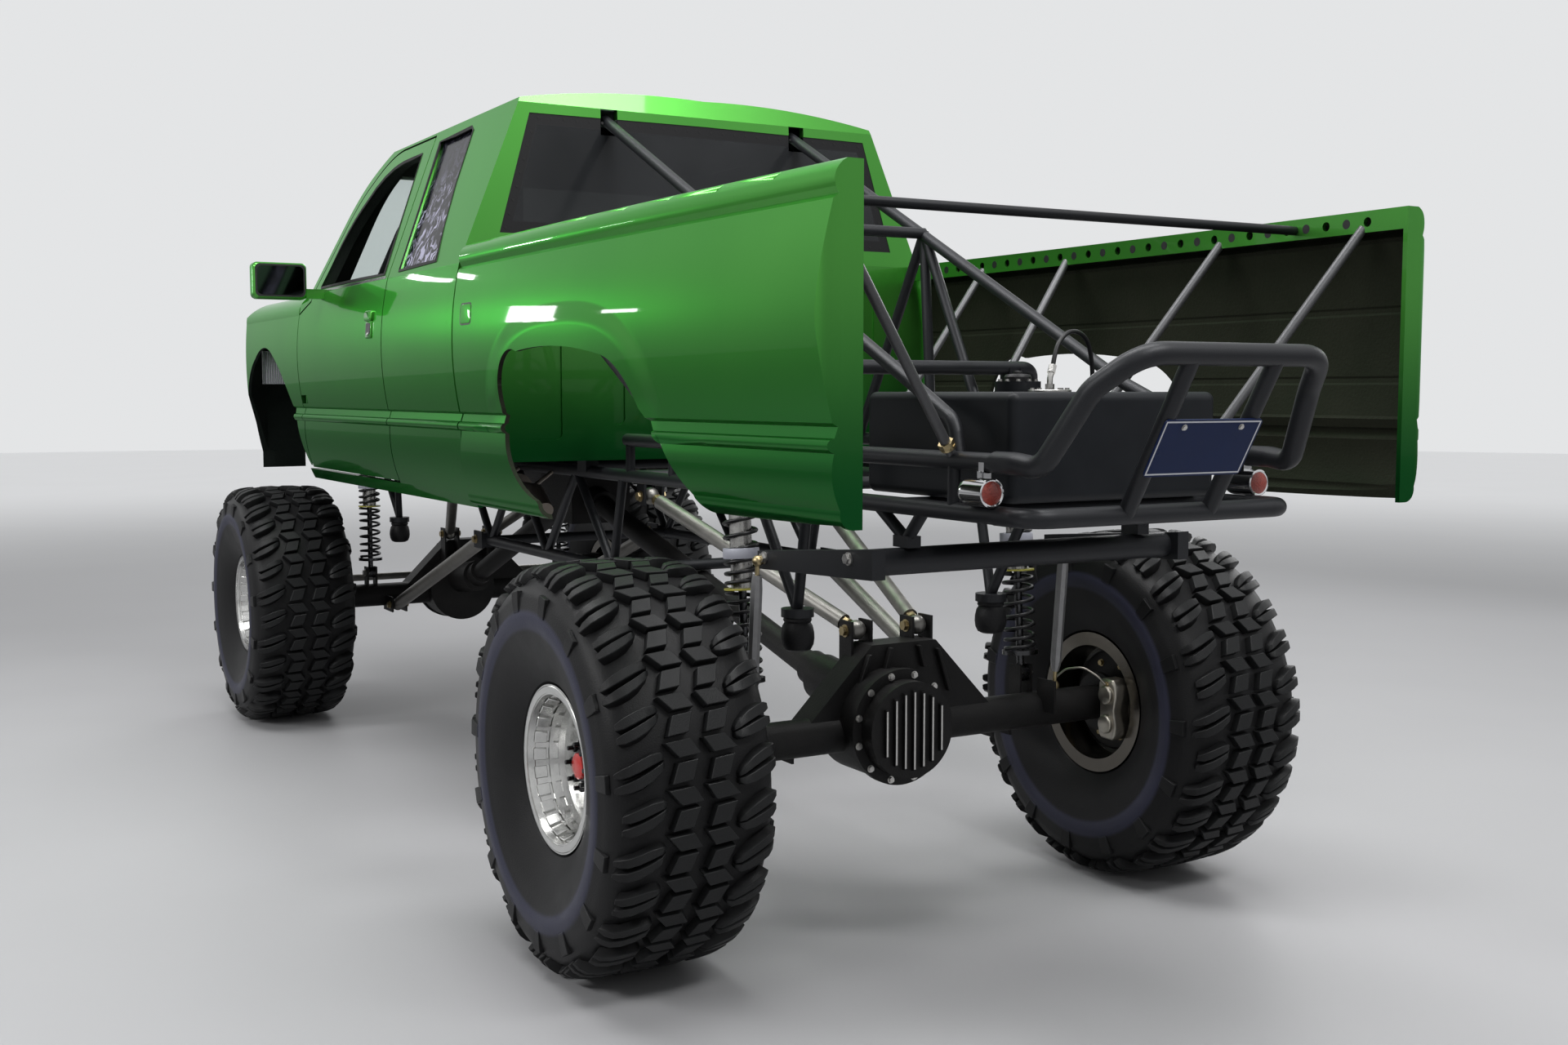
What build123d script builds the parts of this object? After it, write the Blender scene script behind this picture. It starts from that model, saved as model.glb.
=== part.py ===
from build123d import *
import os
from math import atan2, cos, degrees, pi, radians, sin

# Lifted pickup truck on a tube frame, in millimetres.
# X runs forward from the rear axle, Y to the left, Z up from the body datum.
# At the end every piece is moved so that the ground is Z 0 and X 0 is mid-length.

# Wheels and stance
WHEELBASE = 3923
WHEEL_Z = 540
TRACK_HALF = 936
TYRE_R = 559
TYRE_WIDTH = 474
LUG_HEIGHT = 26
RIM_R = 228
RIM_WIDTH = 342
RIM_WALL = 12
FRONT_X = WHEELBASE

# Reach of the truck ahead of and behind the rear axle
NOSE_REACH = 4790
TAIL_REACH = 1372

# Body shell
HALF_WIDTH = 965
SILL_Z = 1159
CREASE_Z = 1436
BELT_Z = 1975
ROOF_EDGE_Y = 704
ROOF_EDGE_Z = 2545
ROOF_Z = 2592
CAB_REAR_X = 1225
CAB_FRONT_X = 3440
DOOR_REAR_X = 2052
DOOR_FRONT_X = 3365
NOSE_X = 4650
LOWER_WALL = 100
UPPER_WALL = 45
SKIN = 14
SEAM = 9
GLASS = 6
FLOOR_Z = 1310
SILL_TOP_Z = 1212
HOOD_SEAM_Y = HALF_WIDTH - 220

# Bed sides
BED_FRONT_X = 1205
BED_REAR_X = -1115
RAIL_Z = 2036

# Tube frame
RAIL_Y = 405
LOWER_RAIL_Z = 1262
UPPER_RAIL_Z = 1386
MAIN_TUBE = 44
CROSS_TUBE = 40
BRACE_TUBE = 32
FRAME_FRONT_X = 4440
FRAME_REAR_X = -1000
BELLY_Z = 930
CAGE_Y = 370

# Running clearances
FIT = 0.3
RUNNING = 5


def face_from(start, *moves):
    """A face inside straight moves (a, b) and arcs ((middle), (end))."""
    edges = []
    here = start
    for move in moves:
        if isinstance(move[0], tuple):
            edges.append(ThreePointArc(here, move[0], move[1]))
            here = move[1]
        else:
            edges.append(Line(here, move))
            here = move
    edges.append(Line(here, start))
    return make_face(Curve() + edges)


def along_x(section, x_start, x_end):
    """A section drawn in Y and Z, run from one station to another."""
    return extrude(Plane.YZ.offset(x_start) * section, amount=x_end - x_start)


def across(outline, y_low, y_high):
    """An outline drawn in X and Z, run from one Y to another."""
    return extrude(Plane.XZ.offset(-y_high) * outline, amount=y_high - y_low)


def block(x_low, x_high, y_low, y_high, z_low, z_high):
    """A box given by its limits."""
    centre = ((x_low + x_high) / 2, (y_low + y_high) / 2, (z_low + z_high) / 2)
    return Pos(*centre) * Box(x_high - x_low, y_high - y_low, z_high - z_low)


def bar(start, end, dia):
    """A straight round bar from one point to another."""
    run = Vector(*end) - Vector(*start)
    return extrude(Plane(origin=start, z_dir=run) * Circle(dia / 2), amount=run.length)


def bars(rows, dia):
    """Straight bars for rows of (start, end), joined where they meet."""
    return Part() + [bar(start, end, dia) for start, end in rows]


def bent_tube(points, dia, bend):
    """A tube along straight runs with bends of one radius."""
    path = FilletPolyline(*points, radius=bend)
    return sweep(Plane(origin=path @ 0, z_dir=path % 0) * Circle(dia / 2), path=path)


def coped(piece, *others):
    """The main body of a bar after it is cut back to what it is welded to."""
    for other in others:
        piece = piece - other
    return max(piece.solids(), key=lambda solid: solid.volume)


def lathe_y(section):
    """A section drawn in Y (first) and radius (second), turned about the Y axis."""
    plane = Plane(origin=(0, 0, 0), x_dir=(0, 1, 0), z_dir=(1, 0, 0))
    return revolve(plane * section, axis=Axis.Y)


def flip(piece):
    """The same piece on the right-hand side."""
    return mirror(piece, about=Plane.XZ)


def pair(piece):
    """A left-hand piece and its right-hand twin."""
    return Part() + [piece, flip(piece)]


NODES = {}


def keep(name, piece):
    """Name a finished piece."""
    NODES[name] = piece
    return piece


# Wheels: a deep-dish rim with its hub and brake disc, and a lugged tyre round it

DISC_R = 150
DISC_THICK = 26
HUB_R = 58
HUB_FACE_Y = 62
RIM_CENTRE_THICK = 18
SPINDLE_R = 38


def rim_section():
    """Rim from its inner lip to its outer lip, with the centre near the outer side."""
    half = RIM_WIDTH / 2
    barrel = RIM_R - 30
    return face_from(
        (-half, RIM_R),
        (-half, barrel - RIM_WALL),
        (HUB_FACE_Y - 10, barrel - RIM_WALL - 8),
        (HUB_FACE_Y, HUB_R),
        (HUB_FACE_Y, 0),
        (HUB_FACE_Y + RIM_CENTRE_THICK, 0),
        (HUB_FACE_Y + RIM_CENTRE_THICK, HUB_R + 26),
        (HUB_FACE_Y + 10, barrel - RIM_WALL - 16),
        (half, RIM_R - 22),
        (half, RIM_R),
        (half - 14, RIM_R),
        (half - 20, barrel),
        (-half + 20, barrel),
        (-half + 14, RIM_R),
    )


POCKETS = 24
POCKET_Y = (88, 122)
POCKET_DEPTH = 5
POCKET_HALF = 16


def rim_pockets():
    """Ring of shallow rectangular pockets in the outer cone of the rim."""
    low = (HUB_FACE_Y + 10, RIM_R - 30 - RIM_WALL - 16)
    high = (RIM_WIDTH / 2, RIM_R - 22)
    slope = (high[1] - low[1]) / (high[0] - low[0])
    near, far = [low[1] + slope * (y - low[0]) for y in POCKET_Y]
    section = face_from(
        (POCKET_Y[0], near - 10),
        (POCKET_Y[1], far - 10),
        (POCKET_Y[1], far + POCKET_DEPTH),
        (POCKET_Y[0], near + POCKET_DEPTH),
    )
    pocket = extrude(Plane.YZ * section, amount=POCKET_HALF, both=True)
    return [Rot(0, 360 * turn / POCKETS, 0) * pocket for turn in range(POCKETS)]


def hub_section():
    """Hub drum and brake disc behind the rim's centre, bored for the spindle."""
    disc_y = -40
    return face_from(
        (HUB_FACE_Y, SPINDLE_R + FIT),
        (HUB_FACE_Y, HUB_R),
        (disc_y + DISC_THICK, HUB_R),
        (disc_y + DISC_THICK, DISC_R),
        (disc_y, DISC_R),
        (disc_y, SPINDLE_R + FIT),
    )


# columns: distance along the axle, distance of the flats from the axle, from bead to crown
CARCASS = (
    (RIM_WIDTH / 2 - 20, RIM_R - 30 + FIT),
    (RIM_WIDTH / 2 - 14, RIM_R),
    (TYRE_WIDTH / 2 - 15, 330),
    (TYRE_WIDTH / 2 - 3, 430),
    (TYRE_WIDTH / 2 - 41, TYRE_R - 52),
    (92, TYRE_R),
)
SIDES = 26
LUG_WIDTH = 72
TURN = 360 / SIDES


def carcass():
    """Many-sided carcass with a flat at the bottom, from bead over crown to bead."""
    inner_half = [(-along, flat) for along, flat in reversed(CARCASS)]
    profile = list(CARCASS) + inner_half
    corners = [
        [Rot(0, turn * TURN, 0) * Pos(flat / cos(radians(TURN / 2)), along, 0) for along, flat in profile]
        for turn in range(SIDES)
    ]
    faces = []
    for turn in range(SIDES):
        near = corners[turn]
        far = corners[(turn + 1) % SIDES]
        for spot in range(len(profile)):
            after = (spot + 1) % len(profile)
            ends = [near[spot], near[after], far[after], far[spot]]
            faces.append(Face(Wire.make_polygon([end.position for end in ends])))
    return Solid(Shell(faces))


def shoulder_lug():
    """One lug from the tread's edge over the shoulder and down the side wall."""
    wide = TYRE_WIDTH / 2
    section = face_from(
        (90, TYRE_R - 1.5),
        (wide - 47, TYRE_R - 11),
        (wide - 5.5, TYRE_R - 125),
        (wide - 32, TYRE_R - 109),
        (110, TYRE_R - 39),
    )
    return extrude(Plane.YZ * section, amount=LUG_WIDTH / 2, both=True)


def tyre():
    """Carcass with a ring of lugs on each shoulder."""
    lug = shoulder_lug()
    lugs = [Rot(0, turn * TURN, 0) * side for turn in range(SIDES) for side in (lug, flip(lug))]
    return carcass() + lugs


def wheel_place(x, side):
    """The place of a wheel; side is 1 on the left and -1 on the right."""
    turn = 0 if side > 0 else 180
    return Pos(x, side * TRACK_HALF, WHEEL_Z) * Rot(0, 0, turn)


RIM = lathe_y(rim_section()) + lathe_y(hub_section()) - rim_pockets()
TYRE = tyre()
# columns: name, station, side
WHEELS = (
    ("rear_left", 0, 1),
    ("rear_right", 0, -1),
    ("front_left", FRONT_X, 1),
    ("front_right", FRONT_X, -1),
)
for name, x, side in WHEELS:
    keep("rim_" + name, wheel_place(x, side) * RIM)
    keep("tyre_" + name, wheel_place(x, side) * TYRE)


# Axles: round tubes into a round housing, a bridge over it, and spindles in the hubs

AXLE_TUBE = 112
DIFF_Y = 60
DIFF_R = 165
RIB_HEIGHT = 12
# columns: place across the cover, half length
RIBS = ((-96, 70), (-64, 98), (-32, 112), (0, 118), (32, 112), (64, 98), (96, 70))
KINGPIN_Y = 700
EAR_Z = 124
EAR_THICK = 26
FORK_Y = 615
SPINDLE_END_Y = TRACK_HALF + HUB_FACE_Y - FIT
DISC_INNER_Y = TRACK_HALF - 40


def diff_housing(x, toward):
    """Round housing with its cover on one side and its pinion nose on the other."""
    drum = Pos(x, DIFF_Y, WHEEL_Z + 25) * Rot(0, 90, 0) * Cylinder(DIFF_R, 200)
    cover = Pos(x + toward * 130, DIFF_Y, WHEEL_Z + 25) * Rot(0, 90, 0) * Cylinder(DIFF_R - 22, 80)
    nose = bar((x, DIFF_Y, WHEEL_Z + 60), (x - toward * 330, DIFF_Y, WHEEL_Z + 105), 150)
    rim = Pos(x + toward * 105, DIFF_Y, WHEEL_Z + 25) * Rot(0, 90, 0) * Cylinder(DIFF_R + 8, 24)
    return drum + rim + cover + nose + cover_ribs(x, toward)


def cover_ribs(x, toward):
    """Upright cooling ribs on the housing's cover."""
    face_x = x + toward * 170
    ribs = [
        block(
            min(face_x - toward * 4, face_x + toward * RIB_HEIGHT),
            max(face_x - toward * 4, face_x + toward * RIB_HEIGHT),
            DIFF_Y + across_y - 4,
            DIFF_Y + across_y + 4,
            WHEEL_Z + 25 - reach,
            WHEEL_Z + 25 + reach,
        )
        for across_y, reach in RIBS
    ]
    return ribs


def axle_bridge(x):
    """Folded bridge that rises over the housing to carry the upper links."""
    section = face_from(
        (-330, WHEEL_Z + 40),
        (-120, 800),
        (110, 800),
        (330, WHEEL_Z + 40),
    )
    return along_x(section, x - 30, x + 70)


def axle(x, toward, tube_end_y):
    """One axle with tubes out to the given Y."""
    tube = bar((x, -tube_end_y, WHEEL_Z), (x, tube_end_y, WHEEL_Z), AXLE_TUBE)
    return tube + diff_housing(x, toward) + axle_bridge(x)


def rear_spindle():
    """Spindle and brake flange at the end of the rear axle."""
    spindle = bar((0, 700, WHEEL_Z), (0, SPINDLE_END_Y, WHEEL_Z), 2 * SPINDLE_R)
    flange = bar((0, 790, WHEEL_Z), (0, 806, WHEEL_Z), 190)
    return spindle + flange


rear_axle = axle(0, -1, 780) + pair(rear_spindle())
keep("rear_axle", rear_axle)


def steering_fork():
    """Fork at the end of the front axle that holds the knuckle between two joints."""
    tip = EAR_Z + EAR_THICK
    fork = block(FRONT_X - 45, FRONT_X + 45, FORK_Y, KINGPIN_Y - 48, WHEEL_Z - tip, WHEEL_Z + tip)
    ears = [
        block(FRONT_X - 32, FRONT_X + 32, FORK_Y, KINGPIN_Y + 24, z, z + EAR_THICK)
        for z in (WHEEL_Z - tip, WHEEL_Z + EAR_Z)
    ]
    return fork + ears


front_axle = axle(FRONT_X, 1, 650) + pair(steering_fork())
keep("front_axle", front_axle)

ARM_X = 262
ARM_Z = WHEEL_Z + 20
ARM_Y = KINGPIN_Y
ROD_END_R = 24


def knuckle():
    """Steering knuckle with its spindle, brake bracket and steering arm."""
    reach = EAR_Z - FIT
    post = bar((FRONT_X, KINGPIN_Y, WHEEL_Z - reach), (FRONT_X, KINGPIN_Y, WHEEL_Z + reach), 64)
    carrier = bar((FRONT_X, KINGPIN_Y, WHEEL_Z), (FRONT_X, 800, WHEEL_Z), 150)
    spindle = bar((FRONT_X, 780, WHEEL_Z), (FRONT_X, SPINDLE_END_Y, WHEEL_Z), 2 * SPINDLE_R)
    arm = bar((FRONT_X + 20, KINGPIN_Y + 25, ARM_Z), (FRONT_X + ARM_X, ARM_Y, ARM_Z), 36)
    eye = Pos(FRONT_X + ARM_X, ARM_Y, ARM_Z) * Cylinder(ROD_END_R, 40)
    return post + carrier + spindle + arm + eye


keep("knuckle_left", knuckle())
keep("knuckle_right", flip(knuckle()))

ROD_Z = ARM_Z + 20 + FIT + 20
tie_rod = bar((FRONT_X + ARM_X, -ARM_Y, ROD_Z), (FRONT_X + ARM_X, ARM_Y, ROD_Z), 35)
tie_ends = pair(Pos(FRONT_X + ARM_X, ARM_Y, ROD_Z) * Cylinder(ROD_END_R, 40))
keep("tie_rod", tie_rod + tie_ends)


def caliper(x):
    """Four-bolt brake caliper that straddles the disc above the axle."""
    y_low = DISC_INNER_Y - 46
    y_high = DISC_INNER_Y + DISC_THICK + 26
    ring = lathe_y(face_from((y_low, 112), (y_low, 172), (y_high, 172), (y_high, 112)))
    slot = lathe_y(
        face_from(
            (DISC_INNER_Y - RUNNING, 60),
            (DISC_INNER_Y - RUNNING, DISC_R + RUNNING),
            (DISC_INNER_Y + DISC_THICK + RUNNING, DISC_R + RUNNING),
            (DISC_INNER_Y + DISC_THICK + RUNNING, 60),
        )
    )
    arc = across(face_from((0, 0), (-300, 170), (-300, -170)), 0, 1200)
    return Pos(x, 0, WHEEL_Z) * ((ring - slot) & arc)


# Tube frame: rails, belly truss, shock hoops, cage and bumpers

BAY_SPLIT_X = 1050
HOOP_Y = 600
HOOP_LEAN = 120
REAR_SHOCK_X = 60
FRONT_SHOCK_X = FRONT_X
REAR_HOOP_Z = 1625
FRONT_HOOP_Z = 1640


def rail_pair(x_start, x_end, z):
    """A left and a right rail at one height."""
    return pair(bar((x_start, RAIL_Y, z), (x_end, RAIL_Y, z), MAIN_TUBE))


def posts_between(stations, z_low, z_high):
    """Upright posts between two rails, left and right."""
    rows = [((x, RAIL_Y, z_low), (x, RAIL_Y, z_high)) for x in stations]
    return pair(bars(rows, BRACE_TUBE))


def cross_tubes(stations, z):
    """Tubes across the frame at the given stations."""
    rows = [((x, -RAIL_Y, z), (x, RAIL_Y, z)) for x in stations]
    return bars(rows, CROSS_TUBE)


def shock_hoop(x, z_top, z_foot):
    """Hoop over the frame that carries the tops of two shock absorbers."""
    foot_x = x + HOOP_LEAN
    legs = [
        (foot_x, RAIL_Y, z_foot),
        (foot_x, HOOP_Y, z_foot + 70),
        (x, HOOP_Y, z_top),
        (x, -HOOP_Y, z_top),
        (foot_x, -HOOP_Y, z_foot + 70),
        (foot_x, -RAIL_Y, z_foot),
    ]
    return bent_tube(legs, MAIN_TUBE, 60)


rear_lattice = (
    rail_pair(FRAME_REAR_X, BAY_SPLIT_X, LOWER_RAIL_Z)
    + rail_pair(FRAME_REAR_X, BAY_SPLIT_X, UPPER_RAIL_Z)
    + posts_between((-835, -330, 180, 700, 1030), LOWER_RAIL_Z, UPPER_RAIL_Z)
    + cross_tubes((-880, -600, 300, 1030), LOWER_RAIL_Z)
)
rear_hoop = shock_hoop(REAR_SHOCK_X + 40, REAR_HOOP_Z, UPPER_RAIL_Z)
frame_rear = rear_lattice + rear_hoop

body_mounts = Part() + [
    block(x - 40, x + 40, RAIL_Y - 24, RAIL_Y + 24, LOWER_RAIL_Z, FLOOR_Z - FIT)
    for x in (1400, 2200, 2950)
]
frame_middle = (
    rail_pair(BAY_SPLIT_X, 3000, LOWER_RAIL_Z)
    + cross_tubes((1900,), LOWER_RAIL_Z)
    + pair(body_mounts)
    + rail_pair(1140, 2460, BELLY_Z)
    + cross_tubes((1145, 2420), BELLY_Z)
    + pair(
        bars(
            [
                ((1180, RAIL_Y, BELLY_Z), (BAY_SPLIT_X + 40, RAIL_Y, LOWER_RAIL_Z)),
                ((1180, RAIL_Y, BELLY_Z), (1500, RAIL_Y, LOWER_RAIL_Z)),
                ((1800, RAIL_Y, BELLY_Z), (1500, RAIL_Y, LOWER_RAIL_Z)),
                ((1800, RAIL_Y, BELLY_Z), (2120, RAIL_Y, LOWER_RAIL_Z)),
                ((2420, RAIL_Y, BELLY_Z), (2120, RAIL_Y, LOWER_RAIL_Z)),
                ((2420, RAIL_Y, BELLY_Z), (2720, RAIL_Y, LOWER_RAIL_Z)),
            ],
            BRACE_TUBE,
        )
    )
)

FIREWALL_X = CAB_FRONT_X + 12
frame_front = (
    rail_pair(3000, FRAME_FRONT_X, LOWER_RAIL_Z)
    + rail_pair(FIREWALL_X + 30, NOSE_X, UPPER_RAIL_Z + 60)
    + posts_between((FIREWALL_X + 60, 4200, FRAME_FRONT_X - 50), LOWER_RAIL_Z, UPPER_RAIL_Z + 60)
    + cross_tubes((FRAME_FRONT_X - 50,), LOWER_RAIL_Z)
    + shock_hoop(FRONT_SHOCK_X, FRONT_HOOP_Z, UPPER_RAIL_Z + 60)
)
keep("frame_rear", frame_rear)
keep("frame_middle", frame_middle)
keep("frame_front", frame_front)

# Rear cage: two long diagonals from the cab to the rails, held up by braced legs

CAGE_NODE = (403, 370, 2068)
CAGE_FOOT = (-830, 385, UPPER_RAIL_Z)


def cage_side():
    """Left diagonal with its legs."""
    node_x, node_y, node_z = CAGE_NODE
    diagonal = bent_tube(
        [(1480, 378, 2598 - 3), (-588, 358, 1571), (-800, 380, 1480), CAGE_FOOT],
        36,
        70,
    )
    legs = bars(
        [
            (CAGE_NODE, (354, 372, UPPER_RAIL_Z)),
            (CAGE_NODE, (60, 385, UPPER_RAIL_Z)),
            (CAGE_NODE, (820, 385, UPPER_RAIL_Z)),
        ],
        BRACE_TUBE + 2,
    )
    return diagonal + legs


cage_half = cage_side()
cage = pair(cage_half) + bar((403, -370, 2068), (403, 370, 2068), 36)
cage_trim = block(CAB_REAR_X + 60, 1600, -500, 500, 1500, 2700)
cage = cage - cage_trim - frame_rear
keep("rear_cage", cage)

# Rear bumper: a rolled hoop over a lower loop, with two leaning posts

BUMPER_TUBE = 42
POST_TUBE = BUMPER_TUBE - 4
REAR_HOOP_X = BUMPER_TUBE / 2 - TAIL_REACH
bumper_hoop = bent_tube(
    [
        (FRAME_REAR_X, RAIL_Y, UPPER_RAIL_Z),
        (-1060, RAIL_Y, UPPER_RAIL_Z),
        (-1150, 396, UPPER_RAIL_Z - 10),
        (-1262, 350, 1560),
        (REAR_HOOP_X, 300, 1640),
        (REAR_HOOP_X, -300, 1640),
        (-1262, -350, 1560),
        (-1150, -396, UPPER_RAIL_Z - 10),
        (-1060, -RAIL_Y, UPPER_RAIL_Z),
        (FRAME_REAR_X, -RAIL_Y, UPPER_RAIL_Z),
    ],
    BUMPER_TUBE,
    38,
)
bumper_loop = bent_tube(
    [
        (FRAME_REAR_X, RAIL_Y, LOWER_RAIL_Z),
        (-1137, RAIL_Y, LOWER_RAIL_Z),
        (-1137, -RAIL_Y, LOWER_RAIL_Z),
        (FRAME_REAR_X, -RAIL_Y, LOWER_RAIL_Z),
    ],
    BUMPER_TUBE,
    90,
)
bumper_posts = pair(bar((-1137, 131, LOWER_RAIL_Z), (REAR_HOOP_X, 131, 1640), POST_TUBE))
bumper = bumper_hoop + bumper_loop + bumper_posts
keep("rear_bumper", bumper)

# Front bumper: a rolled hoop like the rear one, ahead of the grille

FRONT_HOOP_X = NOSE_REACH - BUMPER_TUBE / 2
front_loop = bent_tube(
    [
        (FRAME_FRONT_X, RAIL_Y, LOWER_RAIL_Z),
        (FRONT_HOOP_X, RAIL_Y, LOWER_RAIL_Z),
        (FRONT_HOOP_X, -RAIL_Y, LOWER_RAIL_Z),
        (FRAME_FRONT_X, -RAIL_Y, LOWER_RAIL_Z),
    ],
    BUMPER_TUBE,
    90,
)
front_hoop = bent_tube(
    [
        (FRONT_HOOP_X, 290, LOWER_RAIL_Z),
        (FRONT_HOOP_X, 260, 1560),
        (FRONT_HOOP_X, -260, 1560),
        (FRONT_HOOP_X, -290, LOWER_RAIL_Z),
    ],
    POST_TUBE,
    80,
)
keep("front_bumper", Compound([front_loop.solid(), coped(front_hoop, front_loop)]))


# Suspension: links, coil-over shocks, anti-roll bar, bump stops and shafts

LINK_TUBE = 60
UPPER_LINK_TUBE = 50
BALL_R = 30
TAB = 8
SHOCK_Y = 500
EYE_R = 28
EYE_WIDTH = 34
SPRING_R = 52
COILS = 11
COIL_HALF = 8
COLLAR_R = 57
COLLAR_THICK = 14
LOWER_COLLAR_AT = 60
UPPER_COLLAR_AT = 720


def tabs(x_low, x_high, y, half_gap, z_low, z_high):
    """Two plates that hold an eye or a ball between them."""
    inner = half_gap + FIT
    return Part() + [
        block(x_low, x_high, y + inner, y + inner + TAB, z_low, z_high),
        block(x_low, x_high, y - inner - TAB, y - inner, z_low, z_high),
    ]


def link(start, end, dia):
    """A suspension link with a ball end at each side."""
    a = Vector(*start)
    b = Vector(*end)
    way = (b - a).normalized()
    tube = bar(a + way * 55, b - way * 55, dia)
    balls = (Pos(*a) * Sphere(BALL_R)) + (Pos(*b) * Sphere(BALL_R))
    return tube + bar(a, b, 26) + balls


def shock(low, high):
    """Damper body, rod, collars and eyes of one coil-over."""
    low = Vector(*low)
    high = Vector(*high)
    way = (high - low).normalized()
    body = bar(low + way * 330, high - way * 50, 64)
    rod = bar(low, high, 24)
    eyes = [Pos(*end) * Rot(90, 0, 0) * Cylinder(EYE_R, EYE_WIDTH) for end in (low, high)]
    collars = [
        bar(low + way * at, low + way * (at + COLLAR_THICK), 2 * COLLAR_R)
        for at in (LOWER_COLLAR_AT, UPPER_COLLAR_AT)
    ]
    return Part() + [body, rod] + eyes + collars


def spring(low, high):
    """Coil spring between the two collars, its coils drawn as closed rings on a thin sleeve."""
    low = Vector(*low)
    high = Vector(*high)
    way = (high - low).normalized()
    start = low + way * (LOWER_COLLAR_AT + COLLAR_THICK)
    length = UPPER_COLLAR_AT - LOWER_COLLAR_AT - COLLAR_THICK
    pitch = length / COILS
    outline = [(SPRING_R - 10, 0)]
    for coil in range(COILS):
        middle = (coil + 0.5) * pitch
        outline += [
            (SPRING_R - 10, middle - COIL_HALF),
            (SPRING_R, middle - COIL_HALF / 2),
            (SPRING_R, middle + COIL_HALF / 2),
            (SPRING_R - 10, middle + COIL_HALF),
        ]
    outline += [(SPRING_R - 10, length), (SPRING_R - 16, length)]
    section = face_from((SPRING_R - 16, 0), *outline)
    turned = revolve(Plane.XZ * section, axis=Axis.Z)
    return Plane(origin=start, z_dir=way) * turned


# Rear and front shocks: lower eye on the axle, upper eye under the hoop
REAR_SHOCK = ((35, SHOCK_Y, 655), (REAR_SHOCK_X + 40, SHOCK_Y, REAR_HOOP_Z - 62))
FRONT_SHOCK = ((FRONT_X, SHOCK_Y, 655), (FRONT_SHOCK_X, SHOCK_Y, FRONT_HOOP_Z - 62))
keep("shocks_rear", pair(shock(*REAR_SHOCK)))
keep("shocks_front", pair(shock(*FRONT_SHOCK)))
keep("springs", pair(spring(*REAR_SHOCK)) + pair(spring(*FRONT_SHOCK)))

# Four-link suspension; each row is a link's end on the axle and its end on the frame
UPPER_BALL_Z = 835
LOWER_BALL_Z = 500
UPPER_BALL_X = 60
LOWER_BALL_X = 110
UPPER_BALL_Y = 110
LOWER_BALL_Y = 400
REAR_UPPER = ((UPPER_BALL_X, UPPER_BALL_Y, UPPER_BALL_Z), (1030, 330, LOWER_RAIL_Z - 70))
REAR_LOWER = ((LOWER_BALL_X, LOWER_BALL_Y, LOWER_BALL_Z), (1085, RAIL_Y, BELLY_Z))
FRONT_UPPER = (
    (FRONT_X - UPPER_BALL_X, UPPER_BALL_Y, UPPER_BALL_Z),
    (3060, RAIL_Y - MAIN_TUBE / 2 - TAB - BALL_R - FIT, LOWER_RAIL_Z - 40),
)
FRONT_LOWER = ((FRONT_X - LOWER_BALL_X, LOWER_BALL_Y, LOWER_BALL_Z), (2515, RAIL_Y, BELLY_Z))
keep("links_rear", pair(link(*REAR_UPPER, UPPER_LINK_TUBE)) + pair(link(*REAR_LOWER, LINK_TUBE)))
keep("links_front", pair(link(*FRONT_UPPER, UPPER_LINK_TUBE)) + pair(link(*FRONT_LOWER, LINK_TUBE)))

# Anti-roll bar behind the rear axle, hung under the lower rails, with its two drop links
ROLL_BAR_X = -607
ROLL_BAR_Z = 1120
ROLL_BAR_R = 35
ARM_Y_OUT = 510
DROP_R = 12
DROP_TOP = (-115, ARM_Y_OUT + 20 + 16 + FIT, 1083)
DROP_FOOT = (-75, ARM_Y_OUT + 20 + 16 + FIT, 628)
roll_bar = bar((ROLL_BAR_X, -ARM_Y_OUT, ROLL_BAR_Z), (ROLL_BAR_X, ARM_Y_OUT, ROLL_BAR_Z), 2 * ROLL_BAR_R)
roll_arm = across(
    face_from((ROLL_BAR_X - 60, 1082), (ROLL_BAR_X - 60, 1160), (-85, 1108), (-85, 1058)),
    ARM_Y_OUT - 20,
    ARM_Y_OUT + 20,
)
keep("roll_bar", roll_bar + pair(roll_arm))
drop = bar(DROP_TOP, DROP_FOOT, 2 * DROP_R) + (Pos(*DROP_TOP) * Sphere(16)) + (Pos(*DROP_FOOT) * Sphere(16))
keep("drop_links", pair(drop))

# Bump stops hang over each axle from a V of two tubes
BUMP_Y = 350
BUMP_TOP_Z = 900
BUMP_R = 48
bump = Part() + [
    pair(Pos(x, BUMP_Y, BUMP_TOP_Z - 50 - FIT) * Cylinder(BUMP_R, 100)) for x in (0, FRONT_X)
]
keep("bump_stops", bump)


def bump_hanger(x):
    """V of tubes and a plate above one bump stop."""
    tubes = bars(
        [
            ((x - 150, RAIL_Y, LOWER_RAIL_Z), (x, BUMP_Y, BUMP_TOP_Z + 20)),
            ((x + 150, RAIL_Y, LOWER_RAIL_Z), (x, BUMP_Y, BUMP_TOP_Z + 20)),
        ],
        BRACE_TUBE,
    )
    plate = Pos(x, BUMP_Y, BUMP_TOP_Z + 12) * Cylinder(BUMP_R, 24)
    return tubes + plate


# Welded brackets that belong to the frame and to the axles

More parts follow.
